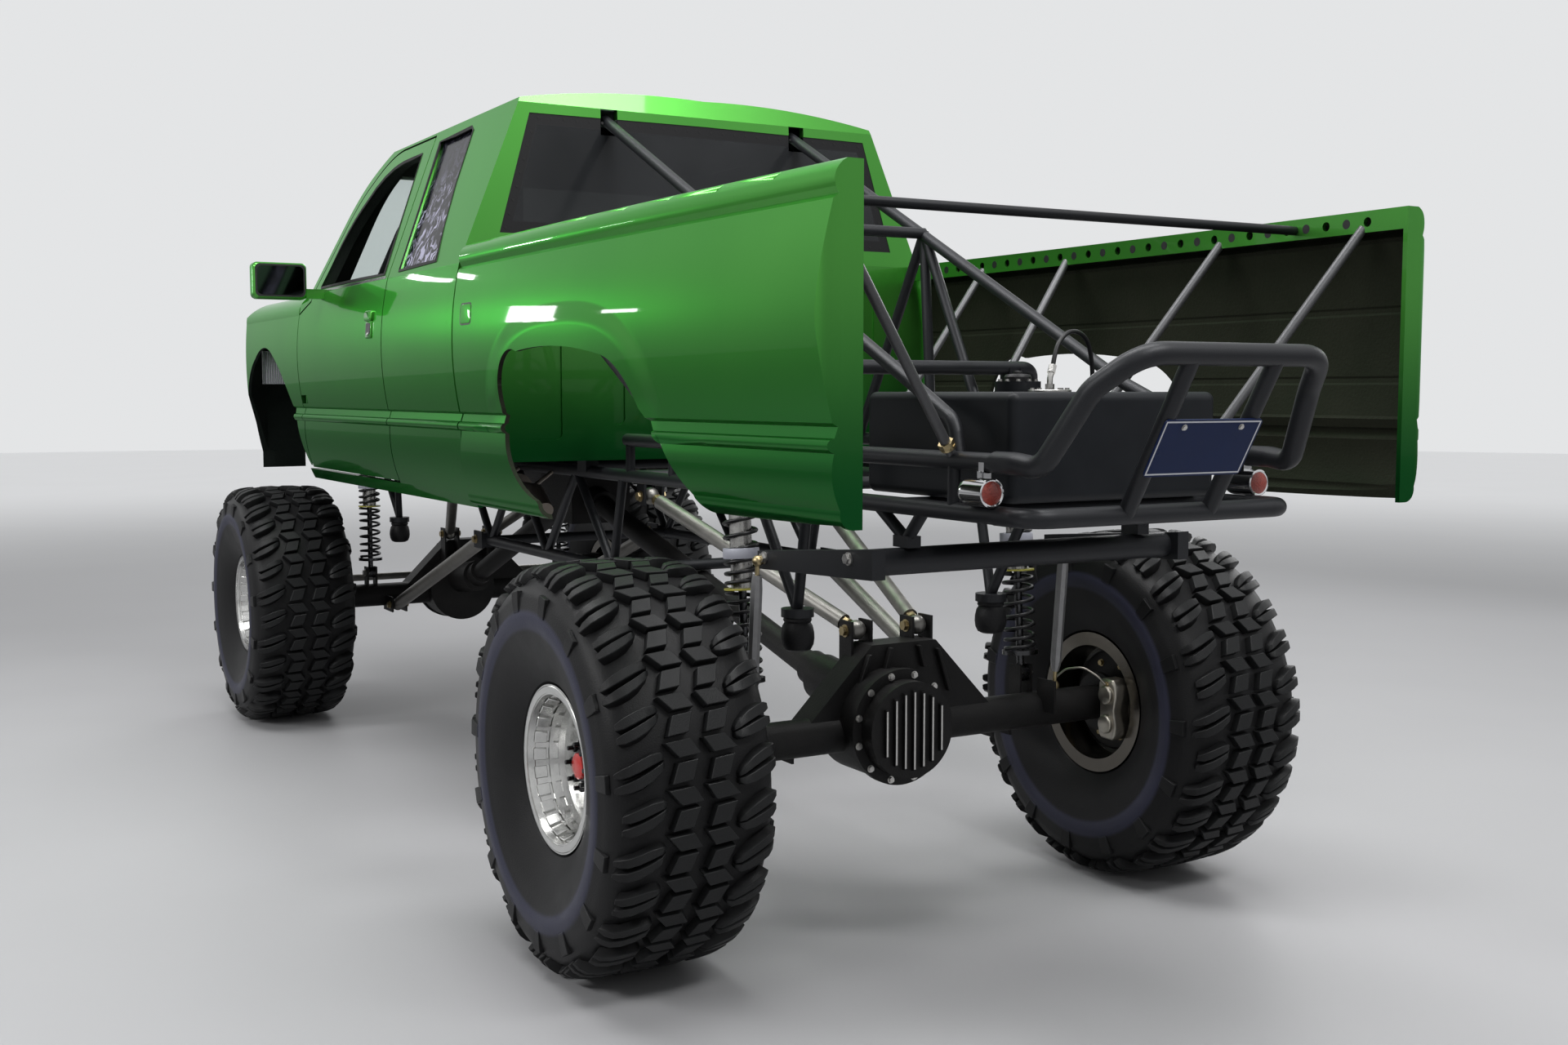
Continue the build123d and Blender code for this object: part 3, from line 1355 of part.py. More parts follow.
bed_inside = bed_solid(SKIN)
lip_in_y = BED_WIDE - RAIL_WIDTH
bed_open = block(BED_REAR_X + SKIN, BED_FRONT_X + 50, 500, lip_in_y + SKIN + 1, 1000, RAIL_Z - RAIL_LIP)
REAR_ARCH = face_from(
    (500, 1140),
    (560, 1222),
    ((735, 1335), (789, 1500)),
    ((765, 1625), (608, 1671)),
    ((300, 1680), (-20, 1648)),
    ((-130, 1598), (-210, 1508)),
    (-480, 1290),
    (-575, 1235),
    (-640, 1140),
)
HOLE_STEP = 145
HOLE_R = 13
holes = [
    bar((x, BED_WIDE - RAIL_WIDTH - 40, RAIL_Z - 30), (x, BED_WIDE - RAIL_WIDTH + SKIN + 6, RAIL_Z - 30), 2 * HOLE_R)
    for x in range(-980, 1150, HOLE_STEP)
]
bed_side = bed_solid(0) - bed_inside - bed_open - across(REAR_ARCH, 500, WIDE) - holes
keep("bed_side_left", bed_side)
keep("bed_side_right", flip(bed_side))

# Struts that hold the bed sides off the frame, and the rod between the rails
STRUT = 26
LIP_Y = BED_WIDE - RAIL_WIDTH + SKIN / 2

# columns: station on the frame, height there, station on the rail
strut_rows = ((-835, 1386, -960), (-330, 1386, -420), (180, 1386, 300), (700, 1386, 760))
struts = Part() + [
    coped(bar((xf, RAIL_Y, zf), (xr, LIP_Y - bow_in(xr), 1990), STRUT), NODES["frame_rear"], NODES["rear_cage"], bed_side)
    for xf, zf, xr in strut_rows
]
CROSS_ROD_X = -720
rod_y = LIP_Y - bow_in(CROSS_ROD_X)
cross_rod = bar((CROSS_ROD_X, -rod_y, 2005), (CROSS_ROD_X, rod_y, 2005), STRUT)
struts = pair(struts) + coped(cross_rod, bed_side, flip(bed_side))
keep("bed_struts", struts)

# Doors carry the mirrors
MIRROR_Y = HALF_WIDTH + 47
mirror_head = fillet(block(2955, 3035, MIRROR_Y, MIRROR_Y + 224, 1938, 2092).edges(), 22)
mirror_arm = block(2975, 3020, HALF_WIDTH - 75, MIRROR_Y + 30, 1945, 1985)
mirror_piece = coped(mirror_head + mirror_arm, cab_outer)
keep("mirror_left", mirror_piece)
keep("mirror_right", flip(mirror_piece))

# Inside the cab: cage, seats, dash and wheel
CAB_TUBE = 42
cab_cage_half = bent_tube(
    [
        (1560, 600, FLOOR_Z + FLOOR_THICK),
        (1560, 600, 2380),
        (1560, 520, 2500),
        (1560, -20, 2500),
    ],
    CAB_TUBE,
    60,
) + bent_tube(
    [
        (1560, 560, 2470),
        (2450, 560, 2468),
        (2900, 620, 2240),
        (3190, 700, 1900),
        (3330, 740, FLOOR_Z + FLOOR_THICK),
    ],
    CAB_TUBE,
    80,
)


def seat(y):
    """One bucket seat: base, back and headrest."""
    base = block(2150, 2680, y - 240, y + 240, FLOOR_Z + FLOOR_THICK + FIT, 1640)
    back = across(face_from((2150, 1500), (2290, 1560), (2150, 2180), (2040, 2160)), y - 240, y + 240)
    return fillet((base + back).edges(), 24)


keep("seats", Part() + [seat(340), seat(-340)])
DASH_END_X = CAB_FRONT_X - BACK_WALL - FIT
dash = across(
    face_from((3100, 1700), (3060, 1840), (3130, 1905), (DASH_END_X, 1905), (DASH_END_X, 1700)),
    -690,
    690,
)
keep("dashboard", dash)
cab_cage = coped(cab_cage_half + flip(cab_cage_half), NODES["cab_floor"], dash)
keep("cab_cage", cab_cage)
NODES["rear_cage"] = NODES["rear_cage"] - cab_cage
column = bar((3120, 340, 1790), (2860, 340, 1880), 46)
wheel_plane = Plane(origin=(2860, 340, 1880), z_dir=(-260, 0, 90))
steering_wheel = wheel_plane * Torus(185, 14) + column
steering_wheel = coped(steering_wheel + wheel_plane * Box(360, 40, 16), dash)
keep("steering_wheel", steering_wheel)

os.makedirs("parts", exist_ok=True)
ORIGIN_X = (NOSE_REACH - TAIL_REACH) / 2
GROUND_Z = WHEEL_Z - TYRE_R
for name, piece in NODES.items():
    export_step(Pos(-ORIGIN_X, 0, -GROUND_Z) * piece, os.path.join("parts", name + ".step"))
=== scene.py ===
from functools import partialmethod
from math import cos, exp, pi, radians, sin

import bmesh
import bpy
from mathutils import Matrix, Vector
from mathutils.bvhtree import BVHTree


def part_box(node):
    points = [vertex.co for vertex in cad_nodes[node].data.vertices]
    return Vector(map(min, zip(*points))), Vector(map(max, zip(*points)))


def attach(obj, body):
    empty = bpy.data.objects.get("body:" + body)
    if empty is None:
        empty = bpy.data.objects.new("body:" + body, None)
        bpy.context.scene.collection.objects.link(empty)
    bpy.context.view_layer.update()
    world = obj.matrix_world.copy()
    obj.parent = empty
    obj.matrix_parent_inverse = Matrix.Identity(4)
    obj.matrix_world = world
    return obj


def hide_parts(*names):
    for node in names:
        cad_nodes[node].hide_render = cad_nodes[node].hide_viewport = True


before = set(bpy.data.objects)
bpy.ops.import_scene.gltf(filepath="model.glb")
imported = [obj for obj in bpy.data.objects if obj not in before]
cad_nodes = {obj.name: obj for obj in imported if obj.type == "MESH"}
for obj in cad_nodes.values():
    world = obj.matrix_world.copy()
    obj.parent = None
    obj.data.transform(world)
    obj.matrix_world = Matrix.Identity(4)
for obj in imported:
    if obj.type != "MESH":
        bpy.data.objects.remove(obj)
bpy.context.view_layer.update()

# Camera. The photographer stands behind the left rear wheel at chest height,
# with a moderate wide-angle lens, and looks along the truck towards its nose.
CAMERA_PLACE = Vector((-5.681, 2.697, 1.569))
CAMERA_YAW = radians(-30.09)
CAMERA_PITCH = radians(-4.665)
CAMERA_LENS_MM = 36.79


def stand(name, data, place=(0.0, 0.0, 0.0), gaze=None):
    """A new object in the scene, at a place and, where asked, looking along a line."""
    thing = bpy.data.objects.new(name, data)
    bpy.context.scene.collection.objects.link(thing)
    thing.location = place
    if gaze is not None:
        thing.rotation_euler = gaze.to_track_quat("-Z", "Y").to_euler()
    return thing


camera_data = bpy.data.cameras.new("camera")
camera_data.sensor_width = 36
camera_data.lens = CAMERA_LENS_MM
gaze = Vector(
    (cos(CAMERA_PITCH) * cos(CAMERA_YAW), cos(CAMERA_PITCH) * sin(CAMERA_YAW), sin(CAMERA_PITCH))
)
bpy.context.scene.camera = stand("camera", camera_data, CAMERA_PLACE, gaze)
bpy.context.scene.view_settings.view_transform = "Standard"


# Studio. A pale seamless floor meets a pale surround, lit by long soft boxes overhead and
# weaker ones at the sides; a small window light and thin strips ahead on the left put
# short highlights on the side of the bed.
class Shade:
    """A number or colour inside a material; sums of shades add the nodes that work them out."""

    def __init__(self, finish, socket):
        self.finish = finish
        self.socket = socket

    def maths(self, operation, other=0.0):
        return self.finish.node("ShaderNodeMath", {0: self, 1: other}, operation=operation)

    def __rsub__(self, other):
        return self.finish.node("ShaderNodeMath", {0: other, 1: self}, operation="SUBTRACT")

    __add__ = __radd__ = partialmethod(maths, "ADD")
    __sub__ = partialmethod(maths, "SUBTRACT")
    __mul__ = __rmul__ = partialmethod(maths, "MULTIPLY")
    __truediv__ = partialmethod(maths, "DIVIDE")
    __lt__ = partialmethod(maths, "LESS_THAN")
    __gt__ = partialmethod(maths, "GREATER_THAN")
    __abs__ = partialmethod(maths, "ABSOLUTE")
    most = partialmethod(maths, "MAXIMUM")
    least = partialmethod(maths, "MINIMUM")


class Finish:
    """A material: one main shader and the shades that feed it."""

    def __init__(self, name, tree=None, **sockets):
        self.material = None if tree else bpy.data.materials.new(name)
        if self.material:
            self.material.use_nodes = True
        self.tree = tree or self.material.node_tree
        self.shader = self.tree.nodes.get("Principled BSDF")
        for words, value in sockets.items():
            self.feed(words.replace("_", " ").title(), value)

    def feed(self, socket_name, value):
        """Give one socket of the main shader a number, a colour or a shade."""
        socket_name = socket_name.replace("Ior", "IOR")
        self.fill(self.shader.inputs[socket_name], value)
        return self

    def fill(self, socket, value):
        if isinstance(value, Shade):
            self.tree.links.new(value.socket, socket)
        elif isinstance(value, tuple) and len(value) == 3 and socket.type == "RGBA":
            socket.default_value = (*value, 1.0)
        else:
            socket.default_value = value

    def node(self, kind, inputs=(), output=0, **settings):
        """A node of one kind: its settings first, then its sockets."""
        made = self.tree.nodes.new(kind)
        for words, value in settings.items():
            setattr(made, words, value)
        for key, value in dict(inputs).items():
            self.fill(made.inputs[key], value)
        return Shade(self, made.outputs[output])

    def place(self):
        """The point's place on the truck, in metres."""
        return self.node("ShaderNodeTexCoord", output="Object")

    def axis(self, letter):
        """The point's place along one axis."""
        return self.node("ShaderNodeSeparateXYZ", {"Vector": self.place()}, letter)

    def noise(self, scale, detail=3.0):
        """Cloudy noise from 0 to 1, with about that many blobs in a metre."""
        return self.node(
            "ShaderNodeTexNoise", {"Vector": self.place(), "Scale": scale, "Detail": detail}, "Fac"
        )

    def band(self, value, low, high, rise="LINEAR"):
        """0 at the first limit, 1 at the second, and a straight or smooth rise between them."""
        limits = {"Value": value, "From Min": low, "From Max": high}
        return self.node("ShaderNodeMapRange", limits, "Result", interpolation_type=rise)

    def facing_in(self, centre):
        """1 on faces that look towards a centre, such as the inner side of a shell."""
        away = self.node(
            "ShaderNodeVectorMath", {0: self.place(), 1: centre}, operation="SUBTRACT"
        )
        normal = self.node("ShaderNodeTexCoord", output="Normal")
        facing = self.node(
            "ShaderNodeVectorMath", {0: normal, 1: away}, "Value", operation="DOT_PRODUCT"
        )
        return facing < 0.0

    def kept(self, words):
        """A number that the mesh keeps at each of its points."""
        return self.node("ShaderNodeAttribute", output="Fac", attribute_name=words)

    def mix(self, share, first, second):
        """The first colour where the share is 0, and the second where it is 1."""
        made = self.tree.nodes.new("ShaderNodeMix")
        made.data_type = "RGBA"
        self.fill(made.inputs["Factor"], share)
        self.fill(made.inputs[6], first)
        self.fill(made.inputs[7], second)
        return Shade(self, made.outputs[2])

    def bump(self, height, depth, strength=1.0):
        """A normal that follows a height map, with its full depth in metres."""
        return self.node(
            "ShaderNodeBump", {"Height": height, "Distance": depth, "Strength": strength}, "Normal"
        )


FLOOR_COLOUR = (0.38, 0.38, 0.39)
SURROUND = (0.86, 0.87, 0.88, 1.0)
FLOOR_R = 40.0
floor_mesh = bpy.data.meshes.new("floor")
floor_shape = bmesh.new()
bmesh.ops.create_circle(floor_shape, cap_ends=True, segments=64, radius=FLOOR_R)
floor_shape.to_mesh(floor_mesh)
floor = stand("floor", floor_mesh)
floor_finish = Finish("floor_paint", roughness=0.5, specular_ior_level=0.25, emission_strength=0.5)
floor_finish.feed("Base Color", floor_finish.mix(floor_finish.noise(0.8), FLOOR_COLOUR, (0.42, 0.42, 0.43)))
far_off = floor_finish.node(
    "ShaderNodeVectorMath", {0: floor_finish.place()}, "Value", operation="LENGTH"
)
camera_ray = floor_finish.node("ShaderNodeLightPath", output="Is Camera Ray")
far_off = floor_finish.band(far_off, 5.0, 22.0, "SMOOTHSTEP") * camera_ray
floor_finish.feed("Emission Color", floor_finish.mix(far_off, (0.0, 0.0, 0.0), (0.86, 0.87, 0.88)))
floor_mesh.materials.append(floor_finish.material)

world = bpy.data.worlds.new("surround")
world.use_nodes = True
bpy.context.scene.world = world
sky = Finish("surround", tree=world.node_tree)
glossy = sky.node("ShaderNodeLightPath", output="Is Glossy Ray")
seen = glossy.most(sky.node("ShaderNodeLightPath", output="Is Camera Ray"))
seen = seen.most(sky.node("ShaderNodeLightPath", output="Is Transmission Ray"))
# Dark curtains hang to the left and behind, and show only in the gloss of the paint
heading = sky.node("ShaderNodeTexCoord", output="Generated")
ahead = sky.node("ShaderNodeSeparateXYZ", {"Vector": heading}, "X")
leftward = sky.node("ShaderNodeSeparateXYZ", {"Vector": heading}, "Y")
upward = sky.node("ShaderNodeSeparateXYZ", {"Vector": heading}, "Z")
curtain = sky.band(leftward, -0.02, 0.16).most(1 - sky.band(ahead, 0.0, 0.4))
curtain = curtain * (1 - sky.band(upward, -0.02, 0.30) * 0.75) * glossy
background = sky.tree.nodes["Background"]
background.inputs["Color"].default_value = SURROUND
sky.fill(background.inputs["Strength"], (seen * 0.55 + 0.35) * (1 - curtain * 0.50))

# columns: name, place, point aimed at, width, depth, power in watts
LAMPS = (
    ("soft_box_over", (-1.0, 1.0, 6.5), (0.0, 0.0, 0.0), 7.0, 1.6, 380),
    ("soft_box_left", (-1.0, 7.5, 4.8), (0.0, 0.0, 1.4), 6.0, 0.7, 260),
    ("soft_box_rear", (-6.5, -1.0, 6.5), (-1.0, 0.0, 1.2), 4.0, 1.2, 230),
    ("window_light", (4.4, 3.1, 2.32), (-1.2, 0.94, 1.85), 0.42, 0.26, 6),
    ("strip_light_high", (5.6, 2.5, 3.05), (-1.2, 0.94, 1.85), 0.34, 0.06, 1.3),
    ("strip_light_near", (3.2, 3.4, 2.25), (-1.2, 0.94, 1.85), 0.28, 0.06, 1.1),
    ("strip_light_far", (6.2, 3.9, 2.35), (-1.2, 0.94, 1.85), 0.34, 0.07, 1.4),
    ("soft_box_right", (1.5, -7.5, 4.0), (0.0, 0.0, 1.4), 6.0, 2.0, 130),
    ("soft_box_front", (8.0, -3.5, 5.5), (1.0, 0.0, 1.2), 3.0, 1.6, 120),
)
for name, place, aim, width, depth, power in LAMPS:
    lamp_data = bpy.data.lights.new(name, "AREA")
    lamp_data.shape = "RECTANGLE"
    lamp_data.size = width
    lamp_data.size_y = depth
    lamp_data.energy = power
    stand(name, lamp_data, place, Vector(aim) - Vector(place))


# Tyres. Bias-ply mud tyres: a bulging carcass with a smooth outer wall, two centre rows
# of slanted blocks, and shoulder lugs of two fins each that reach down the side wall.
def lathe(profile, steps):
    """Points and faces of a closed profile (along the axle, radius), turned about the axle."""
    points = []
    faces = []
    count = len(profile)
    for step in range(steps):
        turn = 2 * pi * step / steps
        points += [(radius * cos(turn), along, radius * sin(turn)) for along, radius in profile]
        near = step * count
        far = (step + 1) % steps * count
        for spot in range(count):
            after = (spot + 1) % count
            faces.append((near + spot, near + after, far + after, far + spot))
    return points, faces


def joined(*shapes):
    """Several lots of points and faces as one."""
    points = []
    faces = []
    for more_points, more_faces in shapes:
        first = len(points)
        points += more_points
        faces += [tuple(first + spot for spot in face) for face in more_faces]
    return points, faces


def ribbon(rings, capped=True):
    """Closed rings of points, each joined to the next, with both ends capped where asked."""
    size = len(rings[0])
    points = [point for ring in rings for point in ring]
    faces = [tuple(range(size)), tuple(range(len(points) - size, len(points)))] if capped else []
    for ring in range(len(rings) - 1):
        for spot in range(size):
            after = (spot + 1) % size
            near = ring * size
            far = near + size
            faces.append((near + spot, near + after, far + after, far + spot))
    return points, faces


def mesh_of(shape, sharp=35, finish=None, bevel=0.0):
    """A mesh with its normals outwards, its edges rounded, and smooth except at sharp corners."""
    built = bmesh.new()
    spots = [built.verts.new(point) for point in shape[0]]
    for face in shape[1]:
        built.faces.new([spots[spot] for spot in face])
    bmesh.ops.remove_doubles(built, verts=built.verts, dist=1e-6)
    bmesh.ops.recalc_face_normals(built, faces=built.faces)
    if bevel:
        edges = [edge for edge in built.edges if edge.calc_face_angle(0) > radians(sharp)]
        bmesh.ops.bevel(built, geom=edges, offset=bevel, segments=1, affect="EDGES", clamp_overlap=True)
    mesh = bpy.data.meshes.new("shape")
    built.to_mesh(mesh)
    built.free()
    mesh.shade_smooth()
    mesh.set_sharp_from_angle(angle=radians(sharp))
    if finish:
        mesh.materials.append(finish.material)
    return mesh


def show(name, mesh, body, finish=None):
    """Put a finished mesh in the scene as a piece that rides on a body."""
    piece = stand(name, mesh)
    mesh.name = name
    if finish:
        mesh.materials.clear()
        mesh.materials.append(finish.material)
    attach(piece, body)
    return piece


def grown(tree, kind, links=(), **settings):
    """The first output of a new node of a geometry tree: its settings first, then its sockets."""
    made = tree.nodes.new(kind)
    for words, value in settings.items():
        setattr(made, words, value)
    for key, value in dict(links).items():
        if isinstance(value, bpy.types.NodeSocket):
            tree.links.new(value, made.inputs[key])
        else:
            made.inputs[key].default_value = value
    return made.outputs[0]


def new_tree(name, result, **inputs):
    """An empty geometry tree and its inputs, each given as a kind of socket."""
    tree = bpy.data.node_groups.new(name, "GeometryNodeTree")
    for words, kind in inputs.items():
        tree.interface.new_socket(words, in_out="INPUT", socket_type="NodeSocket" + kind)
    tree.interface.new_socket(result, in_out="OUTPUT", socket_type="NodeSocketGeometry")
    return tree, tree.nodes.new("NodeGroupInput").outputs


def copied(tree, points, piece, rotation, finish):
    """End a tree with turned copies of a piece on its points, made real, in one material."""
    inputs = {"Points": points, "Instance": piece, "Rotation": rotation}
    copies = grown(tree, "GeometryNodeInstanceOnPoints", inputs)
    real = grown(tree, "GeometryNodeRealizeInstances", {"Geometry": copies})
    coated = grown(tree, "GeometryNodeSetMaterial", {"Geometry": real, "Material": finish})
    tree.links.new(coated, tree.nodes.new("NodeGroupOutput").inputs[0])


# One tree copies a piece round the axle: equal turns about the Y axis through the origin
round_tree, given = new_tree("copies_round_axle", "Ring", Piece="Geometry", Count="Int", Finish="Material")
step_angle = grown(round_tree, "ShaderNodeMath", {0: 2 * pi, 1: given["Count"]}, operation="DIVIDE")
index = grown(round_tree, "GeometryNodeInputIndex")
angle = grown(round_tree, "ShaderNodeMath", {0: index, 1: step_angle}, operation="MULTIPLY")
about_axle = grown(round_tree, "ShaderNodeCombineXYZ", {"Y": angle})
spin = grown(round_tree, "FunctionNodeEulerToRotation", {0: about_axle})
spots = grown(round_tree, "GeometryNodeMeshLine", {"Count": given["Count"], "Offset": (0, 0, 0)})
copied(round_tree, spots, given["Piece"], spin, given["Finish"])


def grow(mesh, tree, **inputs):
    """Run a mesh through a geometry tree and return the plain mesh that comes out."""
    holder = stand(mesh.name, mesh)
    modifier = holder.modifiers.new("grow", "NODES")
    modifier.node_group = tree
    for item in tree.interface.items_tree:
        if item.in_out == "INPUT" and item.name in inputs:
            modifier[item.identifier] = inputs[item.name]
    bpy.context.view_layer.update()
    result = bpy.data.meshes.new_from_object(holder.evaluated_get(bpy.context.evaluated_depsgraph_get()))
    bpy.data.objects.remove(holder)
    return result


def merged(*meshes):
    """Several meshes as one, each keeping its material."""
    built = bmesh.new()
    finishes = []
    for mesh in meshes:
        first = len(built.faces)
        built.from_mesh(mesh)
        built.faces.ensure_lookup_table()
        for face in built.faces[first:]:
            material = mesh.materials[face.material_index] if mesh.materials else None
            if material not in finishes:
                finishes.append(material)
            face.material_index = finishes.index(material)
    whole = bpy.data.meshes.new("merged")
    built.to_mesh(whole)
    built.free()
    for material in finishes:
        whole.materials.append(material)
    return whole


TYRE_R = 0.559
PITCHES = 15
CROWN_FALL = 0.30
BLOCK_FOOT_R = 0.526
# columns: along the axle, radius; the outer half of the carcass from its crown to its bead
CARCASS_HALF = (
    (0.000, 0.534),
    (0.060, 0.533),
    (0.120, 0.530),
    (0.170, 0.523),
    (0.200, 0.511),
    (0.219, 0.492),
    (0.230, 0.464),
    (0.234, 0.430),
    (0.2365, 0.424),
    (0.2365, 0.396),
    (0.233, 0.388),
    (0.226, 0.350),
    (0.208, 0.300),
    (0.186, 0.258),
    (0.172, 0.236),
    (0.158, 0.228),
)
inner_half = [(-along, radius) for along, radius in reversed(CARCASS_HALF[1:])]
rubber = Finish("tyre_rubber", specular_ior_level=0.2)
scuffed = rubber.noise(7.0, 5.0)
from_axle = rubber.kept("from_axle")
# Painted sheen: the smooth ring on the side wall gets a lighter blue-grey colour that stands in for its shine
ring = rubber.band(from_axle, 0.372, 0.388, "SMOOTHSTEP") * (1 - rubber.band(from_axle, 0.424, 0.436))
# Painted shade: the rubber is lighter above a radius of about 0.54 m, so the grooves between the blocks stay
# darker
blocks = rubber.band(from_axle, 0.536, 0.552)
scuffed_tone_and_groove_shade = rubber.mix(scuffed, (0.0045, 0.0045, 0.005), (0.012, 0.012, 0.0125))
scuffed_tone_and_groove_shade = rubber.mix(blocks, scuffed_tone_and_groove_shade, (0.014, 0.0145, 0.015))
rubber.feed("Base Color", rubber.mix(ring, scuffed_tone_and_groove_shade, (0.030, 0.031, 0.052)))
rubber.feed("Roughness", 0.34 + scuffed * 0.24)
rubber.feed("Normal", rubber.bump(rubber.noise(260.0, 3.0), 0.0006))


def polar(along, radius, arc):
    """A point at a distance along the axle, a radius, and an arc length round the tread."""
    turn = arc / TYRE_R
    return (radius * sin(turn), along, radius * cos(turn))


def crown(along):
    """Radius of the lug tips at a distance from the middle of the tread."""
    return TYRE_R - CROWN_FALL * along**2


def block_of(outline, draft=0.0025):
    """A tread block over an outline of (along the axle, arc length)."""
    middle_along = sum(along for along, arc in outline) / len(outline)
    middle_arc = sum(arc for along, arc in outline) / len(outline)
    foot = []
    top = []
    for along, arc in outline:
        out = Vector((along - middle_along, arc - middle_arc))
        pull = 1 - draft / max(out.length, draft * 2)
        foot.append(polar(along, BLOCK_FOOT_R, arc))
        top.append(polar(middle_along + out.x * pull, crown(along), middle_arc + out.y * pull))
    return ribbon([foot, top])


# A leaning block and the squarer block after it, as (along the axle, arc) corners
LEANING = ((0.100, 0.051), (0.029, 0.058), (0.003, 0.016), (0.066, 0.010))
SQUARE = ((0.070, 0.000), (0.013, 0.006), (0.030, -0.047), (0.090, -0.053))

# columns: along the axle, radius at the ridge, half width of the ridge, share of the sweep,
# share of the gap between the two fins
FIN = (
    (0.100, 0.5460, 0.0070, 0.00, 0.40),
    (0.113, 0.5555, 0.0125, 0.10, 0.75),
    (0.140, 0.5550, 0.0165, 0.34, 1.00),
    (0.170, 0.5515, 0.0175, 0.60, 1.05),
    (0.196, 0.5435, 0.0165, 0.80, 1.00),
    (0.213, 0.5290, 0.0145, 0.92, 0.95),
    (0.224, 0.5110, 0.0110, 1.00, 0.90),
)


def ridge_ring(foot, top, middle, half_foot, half_top):
    """Four corners across a ridge, from its foot and its top as (along the axle, radius)."""
    return [
        polar(*foot, middle - half_foot),
        polar(*top, middle - half_top),
        polar(*top, middle + half_top),
        polar(*foot, middle + half_foot),
    ]


def fin(arc, sweep, apart, end):
    """One fin of a shoulder lug: a ridge with steep flanks, pointed at its inner end."""
    rings = []
    for order, (along, radius, half_width, share, spread) in enumerate(FIN[:end]):
        last = order == end - 1
        ridge = half_width * (0.55 if last else 0.78)
        foot = (along - 0.004 - 0.018 * share, radius - 0.016 - 0.020 * (1 - share))
        middle = arc + sweep * share + apart * spread
        rings.append(ridge_ring(foot, (along, radius), middle, half_width * 1.15, ridge))
    return ribbon(rings)


def lug(arc, sweep, apart, end):
    """Two fins side by side, from the tread's edge down over the shoulder."""
    return joined(fin(arc, sweep, -apart / 2, end), fin(arc, sweep * 0.9, apart / 2, end))


def side_bar(arc, half_width):
    """The flat stepped bar that carries a long lug on down the side wall."""
    rings = []
    for along, radius, low_along, share in (
        (0.2350, 0.486, 0.222, 1.0),
        (0.2368, 0.462, 0.224, 1.0),
        (0.2368, 0.428, 0.226, 0.9),
    ):
        wide = half_width * share
        rings.append(ridge_ring((low_along, radius), (along, radius), arc, wide, wide - 0.002))
    return ribbon(rings)


PITCH_ARC = 2 * pi * TYRE_R / PITCHES


def other_side(shape, shift):
    """The same tread turned half round on its spot for the inner side, and moved on a little."""
    points = []
    for ahead, along, up in shape[0]:
        turned = Matrix.Rotation(shift / TYRE_R, 3, "Y") @ Vector((-ahead, -along, up))
        points.append(tuple(turned))
    return points, shape[1]


row = []
for half in (0, 1):
    for outline in (LEANING, SQUARE):
        moved = [(along, arc + (half - 0.5) * PITCH_ARC / 2) for along, arc in outline]
        row.append(block_of(moved))
shoulder = [
    lug(-PITCH_ARC / 4 + 0.012, -0.052, 0.036, 7),
    side_bar(-PITCH_ARC / 4 - 0.040, 0.028),
    lug(PITCH_ARC / 4 + 0.012, -0.048, 0.033, 6),
]
# How far round the inner side's tread is moved on from the outer side's
INNER_SHIFT = 0.072
outer_tread = joined(*row, *shoulder)
tread = mesh_of(joined(outer_tread, other_side(outer_tread, INNER_SHIFT)), 30, bevel=0.0015)
tread_mesh = grow(tread, round_tree, Count=PITCHES, Finish=rubber.material)
carcass_mesh = mesh_of(lathe([*inner_half, *CARCASS_HALF], 120), 24, rubber)
tyre_mesh = merged(carcass_mesh, tread_mesh)
radii = tyre_mesh.attributes.new("from_axle", "FLOAT", "POINT")
radii.data.foreach_set("value", [(spot.co.x**2 + spot.co.z**2) ** 0.5 for spot in tyre_mesh.vertices])

# columns: wheel, turn about the upright axis in degrees
WHEELS = (("rear_left", 0), ("rear_right", 180), ("front_left", 0), ("front_right", 180))


def wheel_place(wheel, turn):
    """Where a wheel made at the origin goes, with its outer side outwards."""
    low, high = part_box("tyre_" + wheel)
    return Matrix.Translation((low + high) / 2) @ Matrix.Rotation(radians(turn), 4, "Z")


for wheel, turn in WHEELS:
    placed = tyre_mesh.copy()
    placed.transform(wheel_place(wheel, turn))
    tyre = show("tyre_dressed_" + wheel, placed, "wheel_" + wheel)
    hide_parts("tyre_" + wheel)

# Rims. Polished two-part alloy rims: a lathe-turned lip, a cone with a ring of cast
# rectangular pockets, black wheel studs round the hub, and a plain red centre cap.
alloy = Finish("polished_alloy", metallic=1.0)
streak = alloy.noise(46.0, 4.0)
BARREL_Y = 0.866
barrel = abs(alloy.axis("Y")) < BARREL_Y
face_metal = alloy.mix(streak, (0.50, 0.50, 0.49), (0.74, 0.74, 0.72))
alloy.feed("Base Color", alloy.mix(barrel, face_metal, (0.13, 0.12, 0.105)))
alloy.feed("Roughness", 0.14 + streak * 0.18)
studs_black = Finish("stud_black", base_color=(0.012, 0.012, 0.013), roughness=0.35, metallic=0.6)
cap_red = Finish("cap_red", base_color=(0.55, 0.02, 0.015), roughness=0.25, coat_weight=0.6)
LIP_Y = 0.171
LIP_R = 0.206
CONE_Y = 0.072
CONE_R = 0.170


def cone_radius(along):
    """Radius of the rim's outer cone at a distance along the axle."""
    return CONE_R + (LIP_R - CONE_R) * (along - CONE_Y) / (LIP_Y - CONE_Y)


def cone_point(along, proud, arc):
    """A point on the cone, raised by a little, at an arc length round it."""
    radius = cone_radius(along) - proud
    turn = arc / LIP_R
    return (radius * sin(turn), along, radius * cos(turn))


